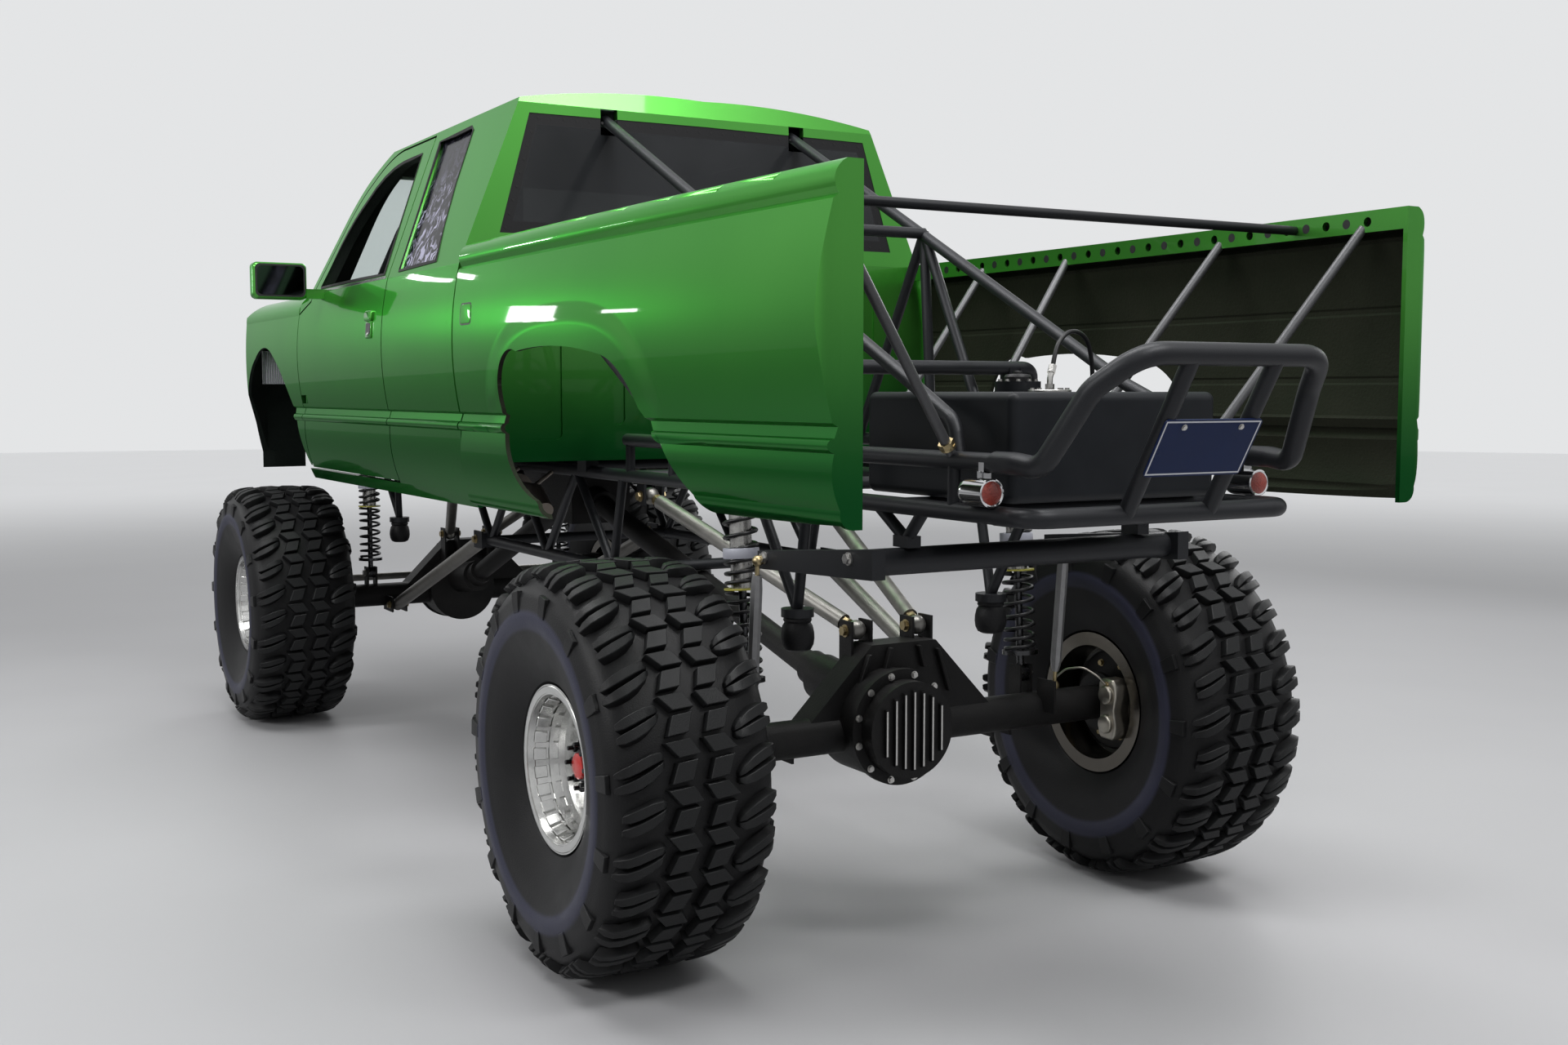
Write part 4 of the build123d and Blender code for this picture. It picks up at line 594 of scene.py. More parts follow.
def cone_pad(low, high, half_width):
    """A raised pad on the cone between two distances along the axle."""
    corners = ((-half_width, -0.002), (-half_width, 0.007), (half_width, 0.007), (half_width, -0.002))
    return ribbon([[cone_point(along, proud, arc) for arc, proud in corners] for along in (low, high)])


def cone_ring(low, high, proud):
    """Profile of a raised band round the cone."""
    low_r = cone_radius(low)
    high_r = cone_radius(high)
    return [(low, low_r + 0.002), (high, high_r + 0.002), (high, high_r - proud), (low, low_r - proud)]


PADS = 24
PAD_HALF = 0.018
pad = mesh_of(cone_pad(0.122, 0.154, PAD_HALF), 30, bevel=0.0015)
pad_mesh = grow(pad, round_tree, Count=PADS, Finish=alloy.material)
lip_profile = [
    (0.1700, 0.205),
    (0.1700, 0.2240),
    (0.1722, 0.2240),
    (0.1735, 0.2220),
    (0.1735, 0.2090),
    (0.1722, 0.2050),
]
band_meshes = [
    mesh_of(lathe(profile, 96), 30, alloy)
    for profile in (cone_ring(0.160, 0.170, 0.005), cone_ring(0.104, 0.114, 0.004), lip_profile)
]
NUTS = 8
NUT_CIRCLE_R = 0.060
HUB_OUTER_Y = 0.080


def disc(radius, low, high, chamfer, steps, centre=(0.0, 0.0)):
    """A boss along the axle, or with few steps a nut, with a chamfered outer edge."""
    turns = [2 * pi * step / steps for step in range(steps)]
    return ribbon(
        [
            [(centre[0] + size * cos(a), along, centre[1] + size * sin(a)) for a in turns]
            for along, size in ((low, radius), (high - chamfer, radius), (high, radius - chamfer))
        ]
    )


stud = joined(
    disc(0.013, HUB_OUTER_Y, HUB_OUTER_Y + 0.020, 0.002, 6, (0.0, NUT_CIRCLE_R)),
    disc(0.0065, HUB_OUTER_Y + 0.018, HUB_OUTER_Y + 0.036, 0.001, 12, (0.0, NUT_CIRCLE_R)),
)
stud_mesh = grow(mesh_of(stud, 30), round_tree, Count=NUTS, Finish=studs_black.material)
hub_mesh = mesh_of(disc(0.046, HUB_OUTER_Y - 0.004, HUB_OUTER_Y + 0.018, 0.004, 32), 30, studs_black)
# columns: out from the hub's face, radius
CAP_PROFILE = ((0.016, 0.0), (0.016, 0.036), (0.026, 0.035), (0.031, 0.026), (0.032, 0.0))
cap_mesh = mesh_of(lathe([(HUB_OUTER_Y + out, radius) for out, radius in CAP_PROFILE], 40), 40, cap_red)
dress_mesh = merged(pad_mesh, *band_meshes, stud_mesh, hub_mesh, cap_mesh)
for wheel, turn in WHEELS:
    cad_nodes["rim_" + wheel].data.materials[0] = alloy.material
    placed = dress_mesh.copy()
    placed.transform(wheel_place(wheel, turn))
    show("rim_dress_" + wheel, placed, "wheel_" + wheel)

# Painted body panels. The body is lime candy over a silver base under thick clear coat;
# the inner sides of the shell and of the bed are sprayed black or brown-black.
REAR_AXLE_X = -1.709
DATUM_Z = 0.019


def at(ahead, left, up):
    """A point given in millimetres from the rear axle, the middle and the frame's datum."""
    return Vector((ahead / 1000 + REAR_AXLE_X, left / 1000, up / 1000 + DATUM_Z))


ARCH_MIDDLE = at(290, 0, 1410)
ARCH_HALF_X = 0.610
ARCH_HALF_Z = 0.372
# The bed sides are widest at this station, and their inner skins lie within this line
BED_BOW_X = -1.259
BED_INNER_Y = 0.886
PRESSED_LINES = (1.79, 1.60)


def body_paint(name, centre=None, inner_colour=None, bed=False):
    """Candy green; faces turned towards a centre inside the shell wear a rough dark coat."""
    coat = Finish(name, coat_roughness=0.03, coat_ior=1.38, specular_ior_level=0.2)
    coat.feed("Specular Tint", (0.16, 0.66, 0.20))
    # Painted reflection: the green darkens towards the bottom of the body, where the dark floor would show in
    # the paint; the clear coat is thinner there as well
    low_down = 1 - coat.band(coat.axis("Z"), 1.30, 1.90, "SMOOTHSTEP")
    green = coat.mix(coat.noise(2.2, 2.0), (0.062, 0.300, 0.040), (0.088, 0.365, 0.056))
    green = coat.mix(low_down, green, (0.006, 0.095, 0.020))
    metal = 0.82
    rough = 0.25 + coat.noise(1500.0, 1.0) * 0.10
    gloss = 0.7 - low_down * 0.42
    if centre:
        mask = coat.facing_in(centre)
        if bed:
            back = coat.axis("X") - BED_BOW_X
            mask = mask * (abs(coat.axis("Y")) + back * back * 0.0125 > BED_INNER_Y)
        peel = coat.noise(120.0, 2.0)
        dark = coat.mix(coat.noise(5.0, 5.0), inner_colour, tuple(2.2 * part for part in inner_colour))
        green = coat.mix(mask, green, dark)
        metal = metal * (1 - mask)
        rough = rough * (1 - mask) + mask * (0.55 + peel * 0.3)
        gloss = gloss * (1 - mask)
        height = mask * peel
    if bed:
        x = abs(coat.axis("X") - ARCH_MIDDLE.x) / ARCH_HALF_X
        z = abs(coat.axis("Z") - ARCH_MIDDLE.z) / ARCH_HALF_Z
        around = x.maths("POWER", 2.6) + z.maths("POWER", 2.6)
        raised = 1 - coat.band(around, 0.72, 1.16, "SMOOTHSTEP")
        raised = raised * coat.band(coat.axis("Z"), 1.46, 1.56, "SMOOTHSTEP")
        upper, lower = [coat.band(abs(coat.axis("Z") - line), 0.006, 0.012) for line in PRESSED_LINES]
        height = raised * (1 - mask) + mask * (peel * 0.1 + upper.least(lower) * 0.3)
    coat.feed("Base Color", green)
    coat.feed("Metallic", metal)
    coat.feed("Roughness", rough)
    coat.feed("Coat Weight", gloss)
    if centre:
        depth, strength = (0.016, 0.8) if bed else (0.0012, 1.0)
        coat.feed("Normal", coat.bump(height, depth, strength))
    return coat


plain_paint = body_paint("candy_green")
shell_paint = body_paint("candy_green_lined", (0.62, 0.0, 1.85), (0.014, 0.014, 0.015))
nose_paint = body_paint("candy_green_nose", (2.30, 0.0, 1.35), (0.008, 0.008, 0.009))
hood_paint = body_paint("candy_green_hood", (2.30, 0.0, 1.0), (0.008, 0.008, 0.009))
bed_paint = body_paint("candy_green_bed", (-1.68, 0.0, 1.50), (0.0105, 0.0088, 0.0075), bed=True)


def wear(finish, names):
    """Give a finish to the carried-over nodes that are named."""
    for name in names.split():
        cad_nodes[name].data.materials[0] = finish.material


wear(plain_paint, "cab_back grille sills mirror_left mirror_right")
wear(shell_paint, "cab_front cab_roof cab_side_left cab_side_right door_left door_right")
wear(nose_paint, "fender_left fender_right")
wear(hood_paint, "hood")
wear(bed_paint, "bed_side_left bed_side_right")

# Window seals and mouldings. Black rubber strips are pressed round the door and quarter
# windows, and a bright belt strip runs under them.
def grained(name, metallic, specular, noise, dark, light, rough, spread, bump=0.0, **sockets):
    """A finish whose colour, roughness and, where asked, height vary with one noise."""
    finish = Finish(name, metallic=metallic, specular_ior_level=specular, **sockets)
    grain = finish.noise(*noise)
    finish.feed("Base Color", finish.mix(grain, dark, light))
    finish.feed("Roughness", rough + grain * spread)
    if bump:
        finish.feed("Normal", finish.bump(grain, bump))
    return finish


rubber_seal = grained(
    "seal_rubber", 0, 0.25, (160, 3), (0.006, 0.006, 0.006), (0.016, 0.016, 0.016), 0.42, 0.25
)
bright = grained("bright_strip", 1, 0.5, (90, 3), (0.50, 0.52, 0.50), (0.68, 0.70, 0.68), 0.12, 0.12)


def skin_of(*names):
    """A tree that finds where a ray meets the nodes' surfaces."""
    built = bmesh.new()
    for name in names:
        built.from_mesh(cad_nodes[name].data)
    tree = BVHTree.FromBMesh(built)
    built.free()
    return tree


left_skin = skin_of("door_left", "cab_side_left", "bed_side_left", "fender_left", "cab_front")
# The side's plane: half width up to a height, and how fast it leans in above that
SIDE_Y = 0.935
SIDE_LEAN_Z = 1.995
SIDE_LEAN = 0.4055
STRIP_SUNK = 0.004


def side_y(x, z):
    """How far out the body's left side is at a point of the side view, also over an opening."""
    leaning = SIDE_Y - SIDE_LEAN * max(z - SIDE_LEAN_Z, 0.0)
    hit = left_skin.ray_cast(Vector((x, 3.0, z)), Vector((0.0, -1.0, 0.0)))[0]
    return hit.y if hit and abs(hit.y - leaning) < 0.05 else leaning


def side_strip(corners, half_width, proud, shift=0.0, closed=True):
    """A strip along a line of (x, z) points on the left side, lifted off the surface."""
    count = len(corners)
    rings = []
    for order in range(count):
        before = Vector(corners[(order - 1) % count if closed or order else 0])
        after = Vector(corners[(order + 1) % count if closed or order < count - 1 else order])
        way = (after - before).normalized()
        out = Vector((-way.y, way.x))
        middle = Vector(corners[order]) + out * shift
        depth = side_y(*(middle + out * half_width))
        ring = []
        for side, lift in ((-1, -STRIP_SUNK), (-1, proud), (1, proud), (1, -STRIP_SUNK)):
            place = middle + out * half_width * side
            ring.append((place.x, depth + lift, place.y))
        rings.append(ring)
    if closed:
        rings.append(rings[0])
    return ribbon(rings, capped=not closed)


def side_points(rows):
    """Stations and heights in millimetres as (x, z) points."""
    return [at(ahead, 0, up).xz for ahead, up in rows]


def mirrored(shape):
    """The same shape on the right side."""
    return [(x, -y, z) for x, y, z in shape[0]], shape[1]


DOOR_OPENING = side_points(
    (
        (2105, 1992), (2168, 2228), (2235, 2480), (2360, 2480), (2480, 2478), (2590, 2466), (2690, 2440),
        (2770, 2404), (2830, 2360), (2885, 2322), (2930, 2280), (2968, 2233), (3000, 2180), (3060, 1992),
        (2700, 1992), (2400, 1992),
    )
)
QUARTER_OPENING = side_points(
    (
        (1490, 2000), (1556, 2130), (1612, 2290), (1650, 2490), (1690, 2510), (1860, 2505), (2045, 2500),
        (1985, 2250), (1925, 1992), (1700, 1996),
    )
)
BELT = side_points(((2075, 1981), (2400, 1981), (2760, 1981), (3120, 1978)))
# columns: half width, how proud, how far into the opening
SEAL = (0.0055, 0.0025, -0.005)
SIDES = (("left", lambda shape: shape), ("right", mirrored))
for side, turned in SIDES:
    door = "door_" + side
    for name, strip, body, slot, finish in (
        ("door_seal_", side_strip(DOOR_OPENING, *SEAL), door, "cabin_trim", rubber_seal),
        ("belt_strip_", side_strip(BELT, 0.006, 0.004, closed=False), door, "lamp_chrome", bright),
        ("quarter_seal_", side_strip(QUARTER_OPENING, *SEAL), "chassis", "cabin_trim", rubber_seal),
    ):
        show(name + side, mesh_of(turned(strip), 40), body, finish)

# Window glass. The windshield is clear; the quarter windows carry a smoky film with a
# mottled grey finish; the back window is smoked plastic, riveted on through a black border.
glass_clear = Finish("window_glass", base_color=(0.72, 0.80, 0.78), roughness=0.02, ior=1.45)
glass_clear.feed("Transmission Weight", 0.92)
wear(glass_clear, "cab_glass")
film = Finish("mottled_film", specular_ior_level=0.12)
swirl = film.node("ShaderNodeTexNoise", {"Vector": film.place(), "Scale": 5.0, "Detail": 3.0}, "Color")
bent = film.node("ShaderNodeVectorMath", {0: swirl, 1: film.place()}, operation="ADD")
cloud = film.node("ShaderNodeTexNoise", {"Vector": bent, "Scale": 7.0, "Detail": 5.0}, "Fac")
streaks = film.node("ShaderNodeTexWave", {"Vector": bent, "Scale": 5.0, "Distortion": 9.0}, "Fac")
smoke = film.band(cloud, 0.42, 0.58) * film.band(streaks, 0.25, 0.6)
low_down = 1 - film.band(film.axis("Z"), 2.20, 2.40, "SMOOTHSTEP") * 0.9
film.feed("Base Color", film.mix(smoke * low_down, (0.005, 0.005, 0.008), (0.34, 0.33, 0.45)))
film.feed("Roughness", 0.12 + smoke * 0.12)


def faces_of(name, wanted, proud):
    """The faces of a node that pass a test, moved out along their normals."""
    built = bmesh.new()
    built.from_mesh(cad_nodes[name].data)
    bmesh.ops.remove_doubles(built, verts=built.verts, dist=1e-6)
    built.normal_update()
    extra = [face for face in built.faces if not wanted(face.calc_center_median(), face.normal)]
    bmesh.ops.delete(built, geom=extra, context="FACES")
    for spot in built.verts:
        spot.co += spot.normal * proud
    mesh = bpy.data.meshes.new(name + "_faces")
    built.to_mesh(mesh)
    built.free()
    return mesh


film_mesh = faces_of("cab_glass", lambda spot, normal: spot.x < 0.45 and normal.y * spot.y > 0.3, 0.0008)
show("quarter_film", film_mesh, "chassis", film)
smoked = Finish("smoked_plastic", specular_ior_level=0.25)
dust = smoked.noise(3.0, 4.0)
WINDOW_LOW_Z = 2.110
WINDOW_HIGH_Z = 2.512
from_side = abs(smoked.axis("Y")) * 0.961 + smoked.axis("Z") * 0.2766 - 1.3413
from_edge = from_side.most(WINDOW_LOW_Z - smoked.axis("Z")).most(smoked.axis("Z") - WINDOW_HIGH_Z)
border = smoked.band(from_edge, -0.037, -0.034)
dusty = smoked.mix(dust, (0.010, 0.011, 0.012), (0.040, 0.042, 0.045))
smoked.feed("Base Color", smoked.mix(border, dusty, (0.006, 0.006, 0.007)))
smoked.feed("Roughness", 0.09 + dust * 0.14 + border * 0.4)
smoked.feed("Alpha", 0.88 + border * 0.12)
wear(smoked, "rear_window")

# Small fastenings all come from one tree, which stands a bolt head on each point of a
# mesh, upright along the way that is stored there.
bolt_tree, given = new_tree(
    "bolt_heads", "Bolts", Places="Geometry", Radius="Float", Height="Float", Sides="Int", Flange="Float",
    Finish="Material",
)
head_sizes = {"Vertices": given["Sides"], "Radius": given["Radius"], "Depth": given["Height"]}
head = grown(bolt_tree, "GeometryNodeMeshCylinder", head_sizes)
half_height = grown(bolt_tree, "ShaderNodeMath", {0: given["Height"], 1: 0.5}, operation="MULTIPLY")
lifted = grown(bolt_tree, "ShaderNodeCombineXYZ", {"Z": half_height})
head_up = grown(bolt_tree, "GeometryNodeTransform", {"Geometry": head, "Translation": lifted})
flange_depth = grown(bolt_tree, "ShaderNodeMath", {0: given["Height"], 1: 0.45}, operation="MULTIPLY")
flange_sizes = {"Vertices": 16, "Radius": given["Flange"], "Depth": flange_depth}
flange = grown(bolt_tree, "GeometryNodeMeshCylinder", flange_sizes)
both = grown(bolt_tree, "GeometryNodeJoinGeometry")
for part in (flange, head_up):
    bolt_tree.links.new(part, both.node.inputs[0])
stored = grown(bolt_tree, "GeometryNodeInputNamedAttribute", {"Name": "way"}, data_type="FLOAT_VECTOR")
upright = grown(bolt_tree, "FunctionNodeAlignRotationToVector", {"Vector": stored}, axis="Z")
copied(bolt_tree, given["Places"], both, upright, given["Finish"])


def bolts(rows, radius, height, finish, sides=6, flange=0.0):
    """A mesh of bolt heads on rows of (place, way)."""
    mesh = bpy.data.meshes.new("bolt_places")
    mesh.from_pydata([tuple(place) for place, way in rows], [], [])
    ways = mesh.attributes.new("way", "FLOAT_VECTOR", "POINT")
    ways.data.foreach_set("vector", [part for place, way in rows for part in way])
    sizes = {"Radius": radius, "Height": height, "Sides": sides, "Flange": flange or radius * 1.3}
    made = grow(mesh, bolt_tree, Finish=finish.material, **sizes)
    made.shade_smooth()
    made.set_sharp_from_angle(angle=radians(30))
    return made


RIVET_GAP = 0.046
# Ends of the lines of rivets, as (across, up)
RIVET_LINES = (
    ((0.768, 2.122), (0.652, 2.498)),
    ((0.640, 2.500), (-0.640, 2.500)),
    ((-0.652, 2.498), (-0.768, 2.122)),
    ((-0.745, 2.120), (0.745, 2.120)),
)
window_rows = []
for start, end in RIVET_LINES:
    run = Vector(end) - Vector(start)
    count = int(run.length / RIVET_GAP)
    for order in range(count):
        across, up = Vector(start) + run * order / count
        window_rows.append(((-0.4807 + 0.044 * (up - 2.049), across, up), (-1, 0, 0.04)))
show("window_rivets", bolts(window_rows, 0.0045, 0.0022, rubber_seal, 10), "chassis")

# Door furniture. A flip-up paddle over a recessed pull on each door, a flush filler lid on
# the left bed side, and the glass of the two mirrors.
satin_black = grained(
    "satin_black", 0, 0.35, (80, 3), (0.007, 0.007, 0.008), (0.018, 0.018, 0.019), 0.34, 0.18
)
mirror_silver = grained(
    "mirror_silver", 1, 0.5, (8, 3), (0.055, 0.058, 0.066), (0.075, 0.079, 0.088), 0.03, 0.05
)


def rounded(width, height, radius, steps=5):
    """Corners of a rounded rectangle round the origin."""
    corners = []
    for turn, (across, up) in enumerate(((1, 1), (-1, 1), (-1, -1), (1, -1))):
        middle = (across * (width / 2 - radius), up * (height / 2 - radius))
        turns = [radians(90 * turn + 90 * step / steps) for step in range(steps + 1)]
        corners += [(middle[0] + radius * cos(a), middle[1] + radius * sin(a)) for a in turns]
    return corners


def side_plate(middle, width, height, radius, levels):
    """A rounded plate on the left side; each level is (how far in from its edge, how proud)."""
    x, z = at(middle[0], 0, middle[1]).xz
    depth = side_y(x, z)
    slope = (side_y(x, z + 0.02) - side_y(x, z - 0.02)) / 0.04
    rings = []
    for inset, proud in levels:
        outline = rounded(width - 2 * inset, height - 2 * inset, max(radius - inset, 0.002))
        rings.append([(x + across, depth + proud + slope * up, z + up) for across, up in outline])
    return ribbon(rings)


# columns: middle (ahead, up), width, height, corner radius, levels, finish
HANDLE = (
    ((2212, 1790), 0.082, 0.070, 0.012, ((0, -0.010), (0, 0.003), (0.004, 0.005)), plain_paint),
    ((2212, 1793), 0.060, 0.044, 0.010, ((0, 0.001), (0.001, 0.0065)), satin_black),
    ((2214, 1842), 0.090, 0.040, 0.010, ((0, -0.008), (0, 0.008), (0.006, 0.013)), plain_paint),
    ((2212, 1772), 0.016, 0.016, 0.0079, ((0, -0.002), (0, 0.0075), (0.002, 0.0085)), bright),
)
FILLER_LID = (
    ((1072, 1802), 0.112, 0.072, 0.020, ((0, -0.004), (0, 0.0008), (0.003, 0.0008)), satin_black),
    ((1072, 1802), 0.102, 0.062, 0.016, ((0, -0.002), (0, 0.0016), (0.004, 0.0022)), plain_paint),
)
MIRROR_Y = 1.124
# columns: width, height, how far out of the mirror's back, finish
PANES = ((0.206, 0.136, 0.0005, satin_black), (0.190, 0.120, 0.0022, mirror_silver))
for side, turned in SIDES:
    parts = [mesh_of(turned(side_plate(*row)), 40, finish) for *row, finish in HANDLE]
    show("door_handle_" + side, merged(*parts), "door_" + side)
    low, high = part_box("mirror_" + side)
    pane_y = MIRROR_Y if side == "left" else -MIRROR_Y
    pane_z = (low.z + high.z) / 2 + 0.0015
    panes = []
    for width, height, lift, finish in PANES:
        outline = [(pane_y + across, pane_z + up) for across, up in rounded(width, height, 0.020)]
        rings = [[(low.x - back, y, z) for y, z in outline] for back in (-0.004, lift)]
        panes.append(mesh_of(ribbon(rings), 40, finish))
    show("mirror_glass_" + side, merged(*panes), "door_" + side)
lid_parts = [mesh_of(side_plate(*row), 40, finish) for *row, finish in FILLER_LID]
show("filler_lid", merged(*lid_parts), "chassis")

# Rail holes. Both bed rails are drilled along their inner lips; the finer holes between
# the large ones are dark discs let into the lip, painted shade that stands in for the holes.
RAIL_LIP_Y = 0.879


def bed_bow(ahead):
    """How far in a bed side lies from its widest station, in millimetres."""
    return (ahead - 450) ** 2 / 80000


hole_rows = []
for order in range(15):
    ahead = -980 + 145 * (order + 0.5)
    place = at(ahead, 0, 2006)
    for side in (1, -1):
        lip_y = side * (RAIL_LIP_Y - bed_bow(ahead) / 1000 + 0.0002)
        hole_rows.append(((place.x, lip_y, place.z), (0, -side, 0)))
show("rail_hole_shade_discs", bolts(hole_rows, 0.013, 0.0008, satin_black, 24, 0.0135), "chassis")

# Tube frame and bumpers: mild steel tubes, notched, welded and powder coated in satin
# graphite. The bed struts and their rods are a lighter grey.
graphite = grained(
    "graphite_coat", 0.3, 0.4, (420, 2), (0.011, 0.012, 0.014), (0.025, 0.026, 0.030), 0.34, 0.16, 0.0003
)
strut_coat = Finish("strut_grey_coat", metallic=0.5)
strut_grain = strut_coat.noise(300.0, 2.0)
cross_rod = (abs(strut_coat.axis("X") + 2.429) < 0.02) * (strut_coat.axis("Z") > 2.0)
strut_base = strut_coat.mix(strut_grain, (0.065, 0.066, 0.070), (0.110, 0.111, 0.115))
strut_coat.feed("Base Color", strut_coat.mix(cross_rod, strut_base, (0.010, 0.011, 0.013)))
strut_coat.feed("Roughness", 0.36 + strut_grain * 0.15)
wear(graphite, "frame_rear frame_middle frame_front rear_cage rear_bumper front_bumper cab_cage roll_bar")
wear(strut_coat, "bed_struts")


def eased(points, radius, steps=8):
    """A run of points with its corners rounded off."""
    run = [Vector(points[0])]
    for before, corner, after in zip(points, points[1:], points[2:]):
        back = (before - corner).normalized()
        on = (after - corner).normalized()
        half = back.angle(on) / 2
        longest = min((before - corner).length, (after - corner).length) * 0.48
        cut = min(radius / max(sin(half) / cos(half), 1e-3), longest)
        start = corner + back * cut
        end = corner + on * cut
        for step in range(steps + 1):
            share = step / steps
            run.append(start.lerp(corner, share).lerp(corner.lerp(end, share), share))
    run.append(Vector(points[-1]))
    return run


def carried(points, radius, sides=10):
    """A round tube along a run of points, with closed ends."""
    way = (points[1] - points[0]).normalized()
    side = way.orthogonal().normalized()
    rings = []
    for order, point in enumerate(points):
        ahead = points[min(order + 1, len(points) - 1)] - points[max(order - 1, 0)]
        ahead.normalize()
        side = (side - ahead * side.dot(ahead)).normalized()
        up = ahead.cross(side)
        rings.append(
            [
                tuple(point + radius * (cos(a) * side + sin(a) * up))
                for a in (2 * pi * spot / sides for spot in range(sides))
            ]
        )
    return ribbon(rings)


HOOP_R = 0.0265
# columns: ahead, left, up, in millimetres, of the left half of the hoop and of the lower loop
HALF_HOOP = (
    (-1000, 405, 1386), (-1075, 405, 1386), (-1150, 396, 1376), (-1255, 340, 1556), (-1345.5, 275, 1634),
)
HALF_LOOP = ((-1000, 405, 1262), (-1134, 405, 1262))
tube_shapes = []
for half, radius, bend in ((HALF_HOOP, HOOP_R, 0.13), (HALF_LOOP, 0.0235, 0.12)):
    whole = [at(*row) for row in half] + [at(row[0], -row[1], row[2]) for row in reversed(half)]
    tube_shapes.append(carried(eased(whole, bend), radius, 24))
for side in (1, -1):
    tube_shapes.append(carried([at(-1137, side * 131, 1262), at(-1346, side * 131, 1628)], 0.0205, 20))
hoop = show("rear_bumper_tubes", mesh_of(joined(*tube_shapes), 50), "chassis", graphite)
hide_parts("rear_bumper")

# Suspension. Raw steel links with brass-plated ball joints, black powder-coated coils on
# bright dampers, thick drop links and moulded rubber bump stops.
link_grey = grained("link_grey", 0.85, 0.5, (30, 5), (0.19, 0.185, 0.17), (0.34, 0.33, 0.31), 0.34, 0.2)
wear(link_grey, "tie_rod links_front links_rear")
brass = grained("yellow_plating", 1, 0.5, (60, 4), (0.30, 0.23, 0.12), (0.55, 0.46, 0.27), 0.28, 0.25)
silver = grained("machined_silver", 1, 0.5, (120, 3), (0.48, 0.47, 0.45), (0.66, 0.65, 0.63), 0.22, 0.2)
damper = Finish("damper_silver", metallic=1.0)
drawn = damper.noise(90.0, 3.0)
rod_part = 1 - damper.band(damper.axis("Z"), 0.995, 1.005)
bare = damper.mix(drawn, (0.44, 0.43, 0.41), (0.62, 0.61, 0.59))
damper.feed("Base Color", damper.mix(rod_part, bare, (0.085, 0.086, 0.090)))
damper.feed("Roughness", 0.18 + drawn * 0.2)
wear(damper, "shocks_rear shocks_front")
spring_black = grained(
    "spring_black", 0, 0.35, (70, 5), (0.006, 0.006, 0.007), (0.016, 0.016, 0.017), 0.3, 0.2, coat_weight=0.15
)
pale_band = Finish("pale_sleeve")
pale_band.feed("Base Color", pale_band.mix(pale_band.noise(30.0), (0.42, 0.43, 0.50), (0.52, 0.53, 0.60)))
pale_band.feed("Roughness", 0.3 + pale_band.noise(50.0) * 0.2)
yellow_mark = Finish("yellow_mark", roughness=0.45)
yellow = yellow_mark.mix(yellow_mark.noise(60.0), (0.42, 0.39, 0.06), (0.54, 0.50, 0.10))
yellow_mark.feed("Base Color", yellow)
moulded = grained(
    "moulded_rubber", 0, 0.2, (200, 3), (0.007, 0.007, 0.008), (0.018, 0.018, 0.019), 0.4, 0.2, 0.0006
)


def lathed(profile, foot, way, steps=32):
    """A profile of (height, radius) turned about an axis that leaves a foot along a way."""
    points, faces = lathe(profile, steps)
    place = Matrix.Translation(foot) @ Vector(way).to_track_quat("Z", "Y").to_matrix().to_4x4()
    return [tuple(place @ Vector((x, z, y))) for x, y, z in points], faces


def sided(point, side):
    """A left-hand point, or with -1 its mirror on the right."""
    return Vector((point.x, point.y * side, point.z))


WIRE_R = 0.0060
COIL_R = 0.052 - WIRE_R
COIL_START = 0.078
COIL_END = 0.716
# columns: turns of each spring, where it starts and ends along the damper
SPRINGS = ((10.6, 0.345, COIL_END), (7.2, COIL_START, 0.322))
REAR_DAMPER = (at(35, 500, 655), at(100, 500, 1563))
FRONT_DAMPER = (at(3923, 500, 655), at(3923, 500, 1578))


def helix(low, way, turns, start, end):
    """One coil spring round a damper, its end turns wound closer together."""
    side = way.orthogonal().normalized()
    up = way.cross(side)
    steps = int(turns * 20)
    points = []
    for step in range(steps + 1):
        share = step / steps
        risen = share + sin(2 * pi * share) * -0.035
        a = 2 * pi * turns * share
        points.append(low + way * (start + (end - start) * risen) + COIL_R * (cos(a) * side + sin(a) * up))
    return carried(points, WIRE_R, 8)


# columns: height, radius; a pale sleeve and a yellow mark sit so far up each damper
SLEEVE = ((0.0, 0.034), (0.0, 0.0520), (0.002, 0.0530), (0.028, 0.0530), (0.030, 0.0520), (0.030, 0.034))
SLEEVE_AT = 0.418
MARK = ((0.0, 0.034), (0.0, 0.0530), (0.002, 0.0535), (0.005, 0.0530), (0.005, 0.034))
MARK_AT = 0.327
coil_shapes = []
sleeve_shapes = []
mark_shapes = []
for low, high in (REAR_DAMPER, FRONT_DAMPER):
    for side in (1, -1):
        foot = sided(low, side)
        way = (sided(high, side) - foot).normalized()
        coil_shapes += [helix(foot, way, turns, start, end) for turns, start, end in SPRINGS]
        sleeve_shapes.append(lathed(SLEEVE, foot + way * SLEEVE_AT, way))
        mark_shapes.append(lathed(MARK, foot + way * MARK_AT, way))
coils = mesh_of(joined(*coil_shapes), 60, spring_black)
sleeves = mesh_of(joined(*sleeve_shapes), 40, pale_band)
marks = mesh_of(joined(*mark_shapes), 40, yellow_mark)
springs = show("coil_springs", merged(coils, sleeves, marks), "chassis")
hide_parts("springs")

